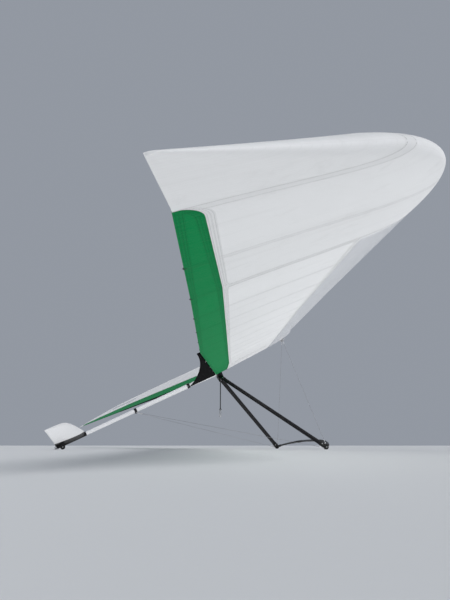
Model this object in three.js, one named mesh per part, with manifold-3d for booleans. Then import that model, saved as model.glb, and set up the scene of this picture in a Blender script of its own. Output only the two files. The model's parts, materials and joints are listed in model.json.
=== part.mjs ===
// Rigid-wing hang glider with a tail boom and a V tail, parked on its base bar and tail skid.
// Millimetres. The part's frame: +Z up, +X the way the glider flies, +Y its left side,
// origin on the floor under the middle of the bounding box.
// The glider is drawn level first, in a flight frame whose origin is the control frame's apex on the
// keel line, and is then pitched nose-up until base bar and tail skid stand on the floor.
import * as THREE from "three";
import { mergeVertices } from "three/addons/utils/BufferGeometryUtils.js";
import Module from "manifold-3d";

const wasm = await Module();
wasm.setup();

const { cos, sin, tan, atan2, PI, max, min, sqrt, abs } = Math;
const GAP = 0.3; // between pieces that touch

// Driving dimensions

const WING = {
  camber: 0.024, // of the chord
  thickness: 0.122, // of the chord
  spar: 0.3, // chord fraction where the rigid leading edge ends
  noseEnd: 300, // half width of the nose cone
  noseTip: 1446, // how far forward the nose cone reaches
  noseBlunt: 6, // rounded off its point
  noseSweep: 30.4, // degrees, of the nose cone's edges
};
// One wing half, root to tip. Columns: span station, leading edge x, trailing edge x and z, rise of
// the leading edge over the trailing edge for each mm of chord, width of the rear band along the
// chord, half thickness of the rear edge. The tip's own curve takes over the leading edge.
const STATIONS = [
  { y: 0, leX: 1370, teX: -7, teZ: 46, rise: 0.14, band: 200, edge: 9 },
  { y: 1000, leX: 1031, teX: -339, teZ: 83, rise: 0.128, band: 240, edge: 8 },
  { y: 3436, leX: 182, teX: -1147, teZ: 174, rise: 0.096, band: 240, edge: 4 },
  { y: 5200, leX: -424, teX: -1636, teZ: 240, rise: 0.07, band: 140, edge: 3 },
  { y: 6020, leX: NaN, teX: -1870, teZ: 271, rise: 0.035, band: 70, edge: 3 },
  { y: 6245, leX: NaN, teX: -1960, teZ: 280, rise: 0.02, band: 60, edge: 3 },
];
const TIP_JOINT = 5200;
const BAND_END = 6010;
// Rounded tip in plan, as (span, x): a cubic curve and then a raked straight end.
const TIP_CURVE = new THREE.CubicBezierCurve(
  new THREE.Vector2(TIP_JOINT, -424),
  new THREE.Vector2(5640, -575),
  new THREE.Vector2(5905, -860),
  new THREE.Vector2(6040, -1260),
);
const TIP_CORNER = new THREE.Vector2(6240, -1930);
const BAND_TAPER = 20; // the band's last station before its end stands at least this far in
const CUT_PROUD = 60; // how far a cutter stands proud of the skin that it cuts

const FLAP = {
  root: 58,
  end: 3400,
  rootChord: 440,
  endChord: 30,
  curve: 1.7, // power of the concave rear edge
  hingeBehind: 13.5, // hinge line behind the rear band
  noseRadius: 8, // at most
  knuckles: [260, 1000, 1800, 2600],
  knuckleLength: 16,
  knuckleRadius: 6,
  knuckleClear: 6, // all round it, in the flap's slots
  slotDepth: 40,
  edgeThick: 3.2,
  droop: 0.05, // of the rear edge, for each mm of chord
};
// Front and rear are fractions of the chord, and clear is the gap round the closed plate.
const SPOILERON = { from: 3550, to: 4950, front: 0.6, rear: 0.72, thick: 10, clear: 6 };

const FRAME = {
  cornerX: 766,
  cornerY: 853,
  cornerZ: -1437,
  bow: 225, // how far the base bar bows forward
  bowWidth: 560,
  chord: 60,
  thick: 26,
  footRadius: 32,
  footWidth: 44,
  sleeve: 8, // how much longer the chord of a socket is than that of its tube
  apexSocket: 74,
  cornerSocket: 96,
  barSocket: 0.055, // share of the base bar's curve that each corner fitting takes
};
const APEX_BLOCK = { front: 84, rear: -4, bottom: -40, halfWidth: 40, socketRoot: 20 };
const BOOM = {
  rootZ: 66, // height of its axis at x = 0, below the wing's rear edge it drops to the tail
  drop: 0.0368, // fall of the axis for each mm aft
  collarX: -470,
  collarLength: 44,
  collarRadius: 36,
  frontRadius: 32,
  endRadius: 21,
  endX: -2440,
};
const boomZ = (x) => BOOM.rootZ + BOOM.drop * x;
// The fairing in front of the collar. Columns: x, half width, half height.
const FAIRING = [
  { x: 0, wide: 45, high: 40 },
  { x: -160, wide: 40, high: 37 },
  { x: -446.5, wide: 22, high: 24 },
];
const TAIL = {
  dihedral: 20.5, // degrees
  rootLe: -2030,
  rootTe: -2420,
  span: 655,
  thickness: 0.09,
  cuffWall: 6, // of the black saddle round the boom
  cuffAhead: 20, // of the fins' front edges
  cuffShort: 10, // of the fins' rear edges
  blackFront: 132, // how far the black root reaches up each fin, at its front and rear
  blackRear: 112,
  skidX: -2340,
  skidZ: -50,
  skidWidth: 26,
  skidNeck: 68, // length of the skid where it joins the saddle
};
const STRAP = {
  x: 22,
  z: -60,
  width: 34,
  thick: 6,
  length: 430,
  pin: 6,
  pinLength: 66,
  slack: 1, // between the pin and the loop
  eye: 15, // outer radius of the lower loop
  eyeHole: 9.5,
  cheekY: 30, // plates that carry the pin
  cheekHalf: 16,
  cheekThick: 8,
};
const CARABINER = { width: 70, height: 112, bar: 10, thick: 11, outer: 18, inner: 6, below: 2 };
// Main stays, from each lower corner of the control frame to the nose and to the boom.
const STAY = {
  radius: 2,
  lugRadius: 5,
  nose: { anchor: [1235, 16, 130], anchorLug: 34, foot: [10, 0, 0], footLug: 78 },
  tail: { anchor: [-1300, 16, -10], anchorLug: 62, foot: [-26, 0, 0], footLug: 60 },
  clampLength: 34,
  clampWall: 6,
  bracketHalf: 40,
  bracketWide: 52,
  bracketBelow: 12,
  bracketAbove: 60,
};

const PARK_PITCH = atan2(
  TAIL.skidZ - FRAME.cornerZ,
  FRAME.cornerX - TAIL.skidX,
);

// Colours and finishes

const finish = (color, roughness, metalness) =>
  new THREE.MeshStandardMaterial({ color, roughness, metalness });
const WHITE_SAIL = finish(0xe1e1e1, 0.62, 0);
const WHITE_SHELL = finish(0xe4e4e6, 0.3, 0);
const GREEN_SAIL = finish(0x008047, 0.6, 0);
const BLACK_SAIL = finish(0x08080a, 0.65, 0);
const BLACK_CARBON = finish(0x0b0b0d, 0.32, 0);
const BLACK_RUBBER = finish(0x101012, 0.85, 0);
const STEEL = finish(0xb4b6ba, 0.3, 1);
const WEBBING = finish(0x0c0c0e, 0.9, 0);

// Tools

const v3 = (x, y, z) => new THREE.Vector3(x, y, z);
const mix = (a, b, t) => a + (b - a) * t;
const radians = (degrees) => (degrees * PI) / 180;

function solid(geometry) {
  const bare = geometry.clone();
  bare.deleteAttribute("normal");
  bare.deleteAttribute("uv");
  const merged = mergeVertices(bare, 1e-3);
  return new wasm.Manifold(
    new wasm.Mesh({
      numProp: 3,
      vertProperties: new Float32Array(merged.attributes.position.array),
      triVerts: new Uint32Array(merged.index.array),
    }),
  );
}

function geometryOf(made) {
  const mesh = made.getMesh();
  const geometry = new THREE.BufferGeometry();
  geometry.setAttribute(
    "position",
    new THREE.BufferAttribute(new Float32Array(mesh.vertProperties), 3),
  );
  geometry.setIndex(new THREE.BufferAttribute(new Uint32Array(mesh.triVerts), 1));
  const flat = geometry.toNonIndexed();
  flat.computeVertexNormals();
  return flat;
}

const joined = (...geometries) =>
  geometryOf(geometries.map(solid).reduce((a, b) => a.add(b)));
const cut = (geometry, ...cutters) =>
  geometryOf(cutters.map(solid).reduce((a, b) => a.subtract(b), solid(geometry)));

// A closed skin through rings of points, flat at both ends, with its faces turned outwards.
function loft(rings) {
  const count = rings[0].length;
  const points = rings.flat();
  const faces = [];
  for (let r = 0; r + 1 < rings.length; r++)
    for (let i = 0; i < count; i++) {
      const a = r * count + i;
      const b = r * count + ((i + 1) % count);
      faces.push([a, b, b + count], [a, b + count, a + count]);
    }
  const endFaces = (ring) => {
    const normal = v3(0, 0, 0);
    ring.forEach((p, i) => normal.add(p.clone().cross(ring[(i + 1) % count])));
    const turn = new THREE.Quaternion().setFromUnitVectors(normal.normalize(), v3(0, 0, 1));
    const flat = ring.map((p) => p.clone().applyQuaternion(turn));
    return THREE.ShapeUtils.triangulateShape(
      flat.map((p) => new THREE.Vector2(p.x, p.y)),
      [],
    );
  };
  const last = (rings.length - 1) * count;
  endFaces(rings[0]).forEach(([a, b, c]) => faces.push([c, b, a]));
  endFaces(rings.at(-1)).forEach(([a, b, c]) => faces.push([last + a, last + b, last + c]));
  const volume = faces.reduce(
    (sum, [a, b, c]) => sum + points[a].dot(points[b].clone().cross(points[c])),
    0,
  );
  const outward = volume < 0 ? faces.map(([a, b, c]) => [c, b, a]) : faces;
  const geometry = new THREE.BufferGeometry().setFromPoints(points);
  geometry.setIndex(outward.flat());
  const flat = geometry.toNonIndexed();
  flat.computeVertexNormals();
  return flat;
}

const mirrored = (geometry) => {
  const other = geometry.clone().scale(1, -1, 1);
  const p = other.attributes.position;
  for (let i = 0; i < p.count; i += 3) {
    const [x, y, z] = [p.getX(i), p.getY(i), p.getZ(i)];
    p.setXYZ(i, p.getX(i + 1), p.getY(i + 1), p.getZ(i + 1));
    p.setXYZ(i + 1, x, y, z);
  }
  other.computeVertexNormals();
  return other;
};

// A straight bar of one section between two points. The section's x runs along chordDirection.
function strut(from, to, section, chordDirection) {
  const along = to.clone().sub(from);
  const length = along.length();
  const z = along.normalize();
  const x = chordDirection.clone().addScaledVector(z, -chordDirection.dot(z)).normalize();
  const y = z.clone().cross(x);
  const bar = new THREE.ExtrudeGeometry(section, { depth: length, bevelEnabled: false });
  bar.applyMatrix4(new THREE.Matrix4().makeBasis(x, y, z).setPosition(from));
  return bar;
}

const FORWARD = v3(1, 0, 0);

function oval(chord, thick, sides = 12) {
  const points = [];
  for (let i = 0; i < sides; i++) {
    const a = (2 * PI * i) / sides;
    points.push(new THREE.Vector2((chord / 2) * cos(a), (thick / 2) * sin(a)));
  }
  return new THREE.Shape(points);
}

// A wheel-like pad whose flat facets are tangent to its circle, one of them level once parked.
function padOutline(radius, sides = 16) {
  const reach = radius / cos(PI / sides);
  const points = [];
  for (let i = 0; i < sides; i++) {
    const a = -PI / 2 - PARK_PITCH + ((i + 0.5) * 2 * PI) / sides;
    points.push(new THREE.Vector2(reach * cos(a), reach * sin(a)));
  }
  return points;
}

// Drawn in the plane of x and z, and extruded along y, centred.
function slab(outline, width, hole) {
  const shape = new THREE.Shape(outline);
  if (hole) shape.holes.push(new THREE.Path(hole));
  const made = new THREE.ExtrudeGeometry(shape, { depth: width, bevelEnabled: false });
  made.translate(0, 0, -width / 2);
  made.rotateX(PI / 2);
  return made;
}

const circle = (radius, sides) =>
  Array.from({ length: sides }, (_, i) => {
    const a = (2 * PI * i) / sides;
    return new THREE.Vector2(radius * cos(a), radius * sin(a));
  });

const block = (low, high) => {
  const size = high.clone().sub(low);
  const made = new THREE.BoxGeometry(size.x, size.y, size.z);
  const centre = low.clone().add(high).multiplyScalar(0.5);
  return made.translate(centre.x, centre.y, centre.z);
};

// Wing sections

function tableAt(y, column) {
  const i = max(1, STATIONS.findIndex((row) => row.y >= y));
  const [a, b] = [STATIONS[i - 1], STATIONS[i]];
  return mix(a[column], b[column], (y - a.y) / (b.y - a.y));
}

// The wing's chord line and thickness at one span station.
function station(y, leX = tableAt(y, "leX")) {
  const teX = tableAt(y, "teX");
  const chord = leX - teX;
  const rise = tableAt(y, "rise") * chord;
  return { y, leX, chord, teX, teZ: tableAt(y, "teZ"), rise, edge: tableAt(y, "edge") };
}

// A point on the wing's upper (side +1) or lower (side -1) skin, at a fraction of the chord.
function skin(at, s, side, lift = 0) {
  const t = max(0, s);
  const half =
    5 *
    WING.thickness *
    (0.2969 * sqrt(t) - 0.126 * t - 0.3516 * t * t + 0.2843 * t ** 3 - 0.1036 * t ** 4);
  const camber = 4 * WING.camber * t * (1 - t);
  const height = at.chord * (camber + side * half) + side * at.edge * t + lift;
  const x = at.leX - s * at.chord;
  return v3(x, at.y, at.teZ + at.rise * (1 - s) + height);
}

const NOSE_FRACTIONS = [1, 0.7, 0.42, 0.22, 0.08, 0.02];
const bandStart = (y) => 1 - tableAt(y, "band") / station(y).chord;

function leadingRing(at, ahead = 0) {
  const stretch = (at.chord * WING.spar + ahead) / (at.chord * WING.spar);
  const point = (share, side) => {
    const p = skin(at, share * WING.spar, side);
    const sparX = at.leX - WING.spar * at.chord;
    p.x = sparX + (p.x - sparX) * stretch;
    return p;
  };
  return [
    ...NOSE_FRACTIONS.map((f) => point(f, -1)),
    point(0, 1),
    ...NOSE_FRACTIONS.toReversed().map((f) => point(f, 1)),
  ];
}

// A ring over part of the chord, from fraction a to fraction b.
function chordRing(at, a, b, steps) {
  const shares = Array.from({ length: steps + 1 }, (_, i) => mix(a, b, i / steps));
  return [
    ...shares.map((s) => skin(at, s, 1)),
    ...shares.toReversed().map((s) => skin(at, s, -1)),
  ];
}

// Wing pieces, left side

const SPANS = [GAP / 2, 1000, 3436, TIP_JOINT];

function leadingEdge() {
  const spans = [WING.noseEnd + GAP, ...SPANS.slice(1, -1), TIP_JOINT - GAP];
  return loft(spans.map((y) => leadingRing(station(y))));
}

function noseCone() {
  const ring = (y, reach) => leadingRing(station(y), reach - station(y).leX);
  const edge = (y) => WING.noseTip - y * tan(radians(WING.noseSweep));
  const half = [leadingRing(station(WING.noseEnd)), ...[150, 36].map((y) => ring(y, edge(y)))];
  const other = half.toReversed().map((points) => points.map((p) => v3(p.x, -p.y, p.z)));
  return loft([...half, ring(0, WING.noseTip - WING.noseBlunt), ...other]);
}

function panelRing(y) {
  const at = station(y);
  const tiny = GAP / at.chord;
  return chordRing(at, WING.spar + tiny, bandStart(y) - tiny, 5);
}

// The spoileron's plate, or the pocket it closes into when grow is more than 0.
function spoileronPlate(grow) {
  const ring = (y) => {
    const at = station(y);
    const reach = grow / at.chord;
    const shares = [0, 0.33, 0.67, 1].map((t) =>
      mix(SPOILERON.front - reach, SPOILERON.rear + reach, t),
    );
    const above = grow > 0 ? CUT_PROUD : 0;
    return [
      ...shares.map((s) => skin(at, s, 1, above)),
      ...shares.toReversed().map((s) => skin(at, s, 1, -SPOILERON.thick - grow)),
    ];
  };
  return loft([ring(SPOILERON.from - grow), ring(SPOILERON.to + grow)]);
}

function wingPanel() {
  const spans = SPANS.with(-1, TIP_JOINT - GAP);
  return cut(loft(spans.map(panelRing)), spoileronPlate(SPOILERON.clear));
}

// Stations of the rounded tip, from the joint outwards.
function tipStations() {
  const curved = [0, 0.25, 0.5, 0.65, 0.75, 0.88, 1].map((t) => TIP_CURVE.getPoint(t));
  const end = curved.at(-1);
  const raked = [0.4, 0.8, 1].map((t) => end.clone().lerp(TIP_CORNER, t));
  return [...curved, ...raked].map((p) => station(p.x, p.y));
}

// A station anywhere on the tip, between its own stations.
function tipAt(y, stations) {
  const i = stations.findIndex((at) => at.y >= y);
  const [a, b] = [stations[max(0, i - 1)], stations[i]];
  const t = a === b ? 0 : (y - a.y) / (b.y - a.y);
  return station(y, mix(a.leX, b.leX, t));
}

// Stations of the green band in the tip, with the chord fraction where it starts.
function tipBand(grow) {
  const stations = tipStations();
  const inner = stations.filter((at) => at.y < BAND_END - BAND_TAPER);
  return [...inner, tipAt(BAND_END + grow, stations)].map((at) => ({
    at,
    front: 1 - (tableAt(at.y, "band") + grow) / at.chord,
  }));
}

function wingTip() {
  const whole = tipStations().map((at) => {
    const shares = [0, 0.006, 0.024, 0.066, 0.126, 0.21, 0.3, 0.47, 0.64, 0.81, 1];
    return [
      ...shares.toReversed().map((s) => skin(at, s, -1)),
      ...shares.slice(1).map((s) => skin(at, s, 1)),
    ];
  });
  const behind = 1.2; // chord fraction
  const notch = tipBand(GAP).map(({ at, front }) => [
    skin(at, front, 1, CUT_PROUD),
    skin(at, behind, 1, CUT_PROUD),
    skin(at, behind, -1, -CUT_PROUD),
    skin(at, front, -1, -CUT_PROUD),
  ]);
  const inboard = notch[0].map((p) => v3(p.x, p.y - CUT_PROUD, p.z));
  return cut(loft(whole), loft([inboard, ...notch]));
}

// The hinge line of the flap: a point for each span station.
const hingePoint = (y) => v3(tableAt(y, "teX") - FLAP.hingeBehind, y, tableAt(y, "teZ"));

function knuckle(y, radius, length, backTo) {
  const middle = hingePoint(y);
  const along = hingePoint(y + 1).sub(hingePoint(y)).normalize();
  const from = middle.clone().addScaledVector(along, -length / 2);
  const to = middle.clone().addScaledVector(along, length / 2);
  const round = strut(from, to, new THREE.Shape(circle(radius, 10)), FORWARD);
  if (!backTo) return round;
  const arm = new THREE.Shape([
    new THREE.Vector2(0, -radius * 0.8),
    new THREE.Vector2(backTo, -radius * 0.8),
    new THREE.Vector2(backTo, radius * 0.8),
    new THREE.Vector2(0, radius * 0.8),
  ]);
  return joined(round, strut(from, to, arm, FORWARD));
}

function rearBand() {
  const inner = SPANS.map((y) => chordRing(station(y), bandStart(y), 1, 3));
  const outer = tipBand(0)
    .slice(1)
    .map(({ at, front }) => chordRing(at, front, 1, 3));
  const lugs = FLAP.knuckles.map((y) =>
    knuckle(y, FLAP.knuckleRadius, FLAP.knuckleLength, FLAP.hingeBehind + 6),
  );
  return joined(loft([...inner, ...outer]), ...lugs);
}

const flapChord = (y) => {
  const share = (y - FLAP.root) / (FLAP.end - FLAP.root);
  return FLAP.endChord + (FLAP.rootChord - FLAP.endChord) * (1 - share) ** FLAP.curve;
};

function flap() {
  const nose = [90, 45, 0, -45, -90].map(radians);
  const rings = [FLAP.root, 420, 900, 1500, 2200, FLAP.end].map((y) => {
    const hinge = hingePoint(y);
    const radius = min(tableAt(y, "edge") + 1, FLAP.noseRadius);
    const rear = hinge.x - flapChord(y) + FLAP.hingeBehind;
    const share = 0.45; // of the chord, where the belly's points stand
    const belly = mix(hinge.x, rear, share);
    const droop = FLAP.droop * (hinge.x - rear);
    const edge = FLAP.edgeThick / 2;
    return [
      ...nose.map((a) => v3(hinge.x + radius * cos(a), y, hinge.z + radius * sin(a))),
      v3(belly, y, hinge.z - radius * 0.78 - droop * share),
      v3(rear, y, hinge.z - edge - droop),
      v3(rear, y, hinge.z + edge - droop),
      v3(belly, y, hinge.z + radius * 0.95 - droop * share),
    ];
  });
  const { knuckleRadius, knuckleLength, knuckleClear, slotDepth } = FLAP;
  const slots = FLAP.knuckles.map((y) =>
    knuckle(y, knuckleRadius + knuckleClear, knuckleLength + 2 * knuckleClear, slotDepth),
  );
  return cut(loft(rings), ...slots);
}

// Control frame

const CORNER = v3(FRAME.cornerX, FRAME.cornerY, FRAME.cornerZ);
const APEX = v3(34, 34, -14);
const DOWN_TUBE = CORNER.clone().sub(APEX).normalize();

const BAR_CURVE = new THREE.CubicBezierCurve3(
  CORNER,
  v3(FRAME.cornerX + (FRAME.bow * 4) / 3, FRAME.bowWidth, FRAME.cornerZ),
  v3(FRAME.cornerX + (FRAME.bow * 4) / 3, -FRAME.bowWidth, FRAME.cornerZ),
  v3(FRAME.cornerX, -FRAME.cornerY, FRAME.cornerZ),
);
const SLEEVE = [FRAME.chord + FRAME.sleeve, FRAME.thick + FRAME.sleeve];

function downTube() {
  const from = APEX.clone().addScaledVector(DOWN_TUBE, FRAME.apexSocket + GAP);
  const to = CORNER.clone().addScaledVector(DOWN_TUBE, -FRAME.cornerSocket - GAP);
  return strut(from, to, oval(FRAME.chord, FRAME.thick), FORWARD);
}

function cornerFitting() {
  const pad = slab(padOutline(FRAME.footRadius), FRAME.footWidth);
  pad.translate(CORNER.x, CORNER.y, CORNER.z);
  const upper = CORNER.clone().addScaledVector(DOWN_TUBE, -FRAME.cornerSocket);
  const toTube = strut(CORNER, upper, oval(...SLEEVE), FORWARD);
  const toBar = strut(CORNER, BAR_CURVE.getPoint(FRAME.barSocket), oval(...SLEEVE), FORWARD);
  return joined(pad, toTube, toBar, footLug(STAY.nose), footLug(STAY.tail));
}

// The bar's end faces lie flat against the corner fittings' sleeves, so its ends take their direction.
function baseBar() {
  const steps = 20;
  const from = FRAME.barSocket + 0.001;
  const end = BAR_CURVE.getPoint(FRAME.barSocket).sub(CORNER).normalize();
  const ends = { 0: end, [steps]: v3(-end.x, end.y, end.z) };
  const sides = 12;
  const outline = oval(FRAME.chord, FRAME.thick, sides).getPoints().slice(0, sides);
  const ring = (i) => {
    const t = mix(from, 1 - from, i / steps);
    const centre = BAR_CURVE.getPoint(t);
    const along = ends[i] ?? BAR_CURVE.getTangent(t);
    const across = along.clone().cross(v3(0, 0, 1)).normalize();
    return outline.map((p) => centre.clone().addScaledVector(across, p.x).add(v3(0, 0, p.y)));
  };
  return loft(Array.from({ length: steps + 1 }, (_, i) => ring(i)));
}

// The highest that a piece may reach at a place under the wing.
const underWing = (x, y) => {
  const at = station(abs(y));
  return skin(at, (at.leX - x) / at.chord, -1).z - 2 * GAP;
};

function apexBracket() {
  const { front, rear, bottom, halfWidth, socketRoot } = APEX_BLOCK;
  const body = loft(
    [-halfWidth, 0, halfWidth].map((y) => [
      v3(rear, y, bottom),
      v3(front, y, bottom),
      v3(front, y, underWing(front, y)),
      v3(rear, y, underWing(rear, y)),
    ]),
  );
  const from = APEX.clone().addScaledVector(DOWN_TUBE, -socketRoot);
  const to = APEX.clone().addScaledVector(DOWN_TUBE, FRAME.apexSocket);
  const socket = strut(from, to, oval(...SLEEVE), FORWARD);
  const sockets = [socket, mirrored(socket)];
  const { cheekY, cheekHalf, cheekThick } = STRAP;
  const cheeks = [cheekY, -cheekY].map((y) =>
    block(
      v3(STRAP.x - cheekHalf, y - cheekThick / 2, STRAP.z - cheekHalf),
      v3(STRAP.x + cheekHalf, y + cheekThick / 2, bottom + 10),
    ),
  );
  const pin = slab(circle(STRAP.pin, 12), STRAP.pinLength);
  pin.translate(STRAP.x, 0, STRAP.z);
  return joined(body, ...sockets, ...cheeks, pin);
}

// Hang strap and carabiner, drawn hanging down from the pin

function hangStrap() {
  const { width, thick, pin, slack, length, eye, eyeHole } = STRAP;
  const hole = pin + slack;
  const top = slab(circle(hole + thick, 16), width, circle(hole, 12));
  const low = slab(circle(eye, 16), width, circle(eyeHole, 12)).translate(0, 0, -length);
  const web = block(
    v3(-thick / 2, -width / 2, mix(eyeHole, eye, 0.3) - length),
    v3(thick / 2, width / 2, -mix(hole, hole + thick, 0.5)),
  );
  return joined(top, web, low);
}

function carabiner() {
  const rounded = (width, height, r) => {
    const shape = new THREE.Shape();
    const [w, h] = [width / 2, height / 2];
    shape.moveTo(-w + r, -h);
    shape.lineTo(w - r, -h);
    shape.absarc(w - r, -h + r, r, -PI / 2, 0, false);
    shape.absarc(w - r, h - r, r, 0, PI / 2, false);
    shape.absarc(-w + r, h - r, r, PI / 2, PI, false);
    shape.absarc(-w + r, -h + r, r, PI, 1.5 * PI, false);
    return shape;
  };
  const { width, height, bar, thick, outer, inner, below } = CARABINER;
  const ring = rounded(width, height, outer);
  ring.holes.push(rounded(width - 2 * bar, height - 2 * bar, inner));
  const made = new THREE.ExtrudeGeometry(ring, {
    depth: thick,
    bevelEnabled: false,
    curveSegments: 5,
  });
  made.translate(0, 0, -thick / 2);
  made.applyMatrix4(new THREE.Matrix4().makeBasis(v3(0, 1, 0), v3(0, 0, 1), v3(1, 0, 0)));
  return made.translate(0, 0, -STRAP.length - height / 2 + bar / 2 - below);
}

// Boom and tail

// A round bar along the boom's axis.
function tube(radiusFront, radiusRear, fromX, toX, sides = 16) {
  const [from, to] = [v3(fromX, 0, boomZ(fromX)), v3(toX, 0, boomZ(toX))];
  const length = from.distanceTo(to);
  const made = new THREE.CylinderGeometry(radiusRear, radiusFront, length, sides);
  const turn = new THREE.Quaternion().setFromUnitVectors(
    v3(0, 1, 0),
    to.clone().sub(from).divideScalar(length),
  );
  made.applyQuaternion(turn);
  const centre = from.add(to).multiplyScalar(0.5);
  return made.translate(centre.x, centre.y, centre.z);
}

// The fairing's front end follows the V of the two rear bands.
function keelFairing() {
  const body = loft(
    FAIRING.map(({ x, wide, high }) =>
      circle(1, 14).map((p) => v3(x, p.x * wide, boomZ(x) + p.y * high)),
    ),
  );
  const behind = (y) => tableAt(y, "teX") - GAP * 1.5;
  const reach = 100;
  const wedge = new THREE.Shape([
    new THREE.Vector2(CUT_PROUD, -reach),
    new THREE.Vector2(CUT_PROUD, reach),
    new THREE.Vector2(behind(reach), reach),
    new THREE.Vector2(behind(0), 0),
    new THREE.Vector2(behind(reach), -reach),
  ]);
  const front = new THREE.ExtrudeGeometry(wedge, { depth: 3 * reach, bevelEnabled: false });
  return cut(body, front.translate(0, 0, -1.5 * reach));
}

const boomCollar = () => {
  const { collarX, collarLength, collarRadius } = BOOM;
  return tube(collarRadius, collarRadius, collarX + collarLength / 2, collarX - collarLength / 2);
};

function tailBoom() {
  const front = BOOM.collarX - BOOM.collarLength / 2 - GAP;
  return tube(BOOM.frontRadius, BOOM.endRadius, front, BOOM.endX);
}

function boomRadius(x) {
  const front = BOOM.collarX - BOOM.collarLength / 2;
  return mix(BOOM.frontRadius, BOOM.endRadius, (front - x) / (front - BOOM.endX));
}

// What is cut from a piece that wraps the boom.
const boomBore = (front, rear) =>
  tube(boomRadius(front) + GAP, boomRadius(rear) + GAP, front, rear);

// The black saddle's round middle, or what is cut from the skid that it carries.
function saddleCuff(grow) {
  const [front, rear] = [TAIL.rootLe - TAIL.cuffAhead, TAIL.rootTe + TAIL.cuffShort];
  const around = TAIL.cuffWall + grow;
  return tube(boomRadius(front) + around, boomRadius(rear) + around, front, rear);
}

const FIN_SHARES = [0, 0.05, 0.25, 0.6, 1];
// Columns: share of the span, leading edge x, trailing edge x, thickness share.
const FIN_STATIONS = [
  { v: 0, le: TAIL.rootLe, te: TAIL.rootTe, fat: 1 },
  { v: 0.5, le: -2108, te: -2438, fat: 1 },
  { v: 0.85, le: -2182, te: -2454, fat: 1 },
  { v: 0.97, le: -2228, te: -2461, fat: 0.8 },
  { v: 1, le: -2262, te: -2458, fat: 0.35 },
];
// The black root meets the white fin on a slant: further out at the front than at the rear.
const finRootSpan = (s) => mix(TAIL.blackFront, TAIL.blackRear, s);

function finRing({ v, le, te, fat }, spanAt) {
  const chord = le - te;
  const half = (s) => {
    const t = 2.969 * sqrt(s) - 1.26 * s - 3.516 * s * s + 2.843 * s ** 3 - 1.015 * s ** 4;
    return (chord * TAIL.thickness * fat * t) / 2 + 1.5 * s;
  };
  const point = (s, side) => v3(le - s * chord, spanAt(v, s), side * half(s));
  return [
    ...FIN_SHARES.map((s) => point(s, 1)),
    ...FIN_SHARES.toReversed().slice(0, -1).map((s) => point(s, -1)),
  ];
}

// Fins are drawn level and then swung up to their dihedral and down to the boom's axis.
const toTail = (geometry) => {
  geometry.rotateX(radians(TAIL.dihedral));
  return geometry.translate(0, 0, boomZ((TAIL.rootLe + TAIL.rootTe) / 2));
};

const tailFin = () =>
  toTail(
    loft(
      FIN_STATIONS.map((row) =>
        finRing(row, (v, s) => mix(finRootSpan(s) + GAP, TAIL.span, v)),
      ),
    ),
  );

function tailSaddle() {
  const root = FIN_STATIONS[0];
  const arm = toTail(
    loft([0, 1].map((v) => finRing({ ...root, v }, (share, s) => mix(8, finRootSpan(s), share)))),
  );
  const bore = boomBore(TAIL.rootLe + CUT_PROUD, BOOM.endX - CUT_PROUD);
  return cut(joined(arm, mirrored(arm), saddleCuff(0)), bore);
}

function tailSkid() {
  const pad = slab(padOutline(FRAME.footRadius), TAIL.skidWidth);
  pad.translate(TAIL.skidX, 0, TAIL.skidZ);
  const half = TAIL.skidNeck / 2;
  const keel = block(
    v3(TAIL.skidX - half, -TAIL.skidWidth / 2, TAIL.skidZ),
    v3(TAIL.skidX + half, TAIL.skidWidth / 2, boomZ(TAIL.skidX)),
  );
  return cut(joined(pad, keel), saddleCuff(GAP));
}

// Main stays, left side, and the lugs that hold their ends

function stayLine({ anchor, foot, anchorLug, footLug: lugLength }) {
  const top = v3(...anchor);
  const bottom = CORNER.clone().add(v3(...foot));
  const down = bottom.clone().sub(top).normalize();
  return {
    top,
    bottom,
    lugBottom: top.clone().addScaledVector(down, anchorLug),
    lugTop: bottom.clone().addScaledVector(down, -lugLength),
    down,
  };
}

const round = (radius, sides) => new THREE.Shape(circle(radius, sides));

function stay(kind) {
  const { lugBottom, lugTop, down } = stayLine(kind);
  lugBottom.addScaledVector(down, GAP);
  lugTop.addScaledVector(down, -GAP);
  return strut(lugBottom, lugTop, round(STAY.radius, 6), FORWARD);
}

function footLug(kind) {
  const { bottom, lugTop } = stayLine(kind);
  return strut(bottom, lugTop, round(STAY.lugRadius, 8), FORWARD);
}

function anchorLugs(kind) {
  const { top, lugBottom } = stayLine(kind);
  const lug = strut(top, lugBottom, round(STAY.lugRadius, 8), FORWARD);
  return joined(lug, mirrored(lug));
}

function noseBracket() {
  const [x, , z] = STAY.nose.anchor;
  const { bracketHalf, bracketWide, bracketBelow, bracketAbove } = STAY;
  const foot = block(
    v3(x - bracketHalf, -bracketWide / 2, z - bracketBelow),
    v3(x + bracketHalf, bracketWide / 2, z + bracketAbove),
  );
  return cut(joined(foot, anchorLugs(STAY.nose)), noseCone().translate(0, 0, -2 * GAP));
}

function stayClamp() {
  const [x] = STAY.tail.anchor;
  const [front, rear] = [x + STAY.clampLength / 2, x - STAY.clampLength / 2];
  const outside = boomRadius(x) + STAY.clampWall;
  const ring = joined(tube(outside, outside, front, rear), anchorLugs(STAY.tail));
  return cut(ring, boomBore(front + CUT_PROUD, rear - CUT_PROUD));
}

// The assembly

const glider = new THREE.Group();
const parked = new THREE.Group();
glider.add(parked);

const place = (name, geometry, material, parent = parked) => {
  const mesh = new THREE.Mesh(geometry, material);
  mesh.name = name;
  parent.add(mesh);
  return mesh;
};

// A piece that moves hangs in a group at its hinge, and is drawn from there.
function hinged(hingeName, point, parent = parked) {
  const group = new THREE.Group();
  group.name = hingeName;
  group.position.copy(point);
  parent.add(group);
  return group;
}

const pair = (name, geometry, material) => {
  place(`${name}_left`, geometry, material);
  place(`${name}_right`, mirrored(geometry), material);
};

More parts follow.
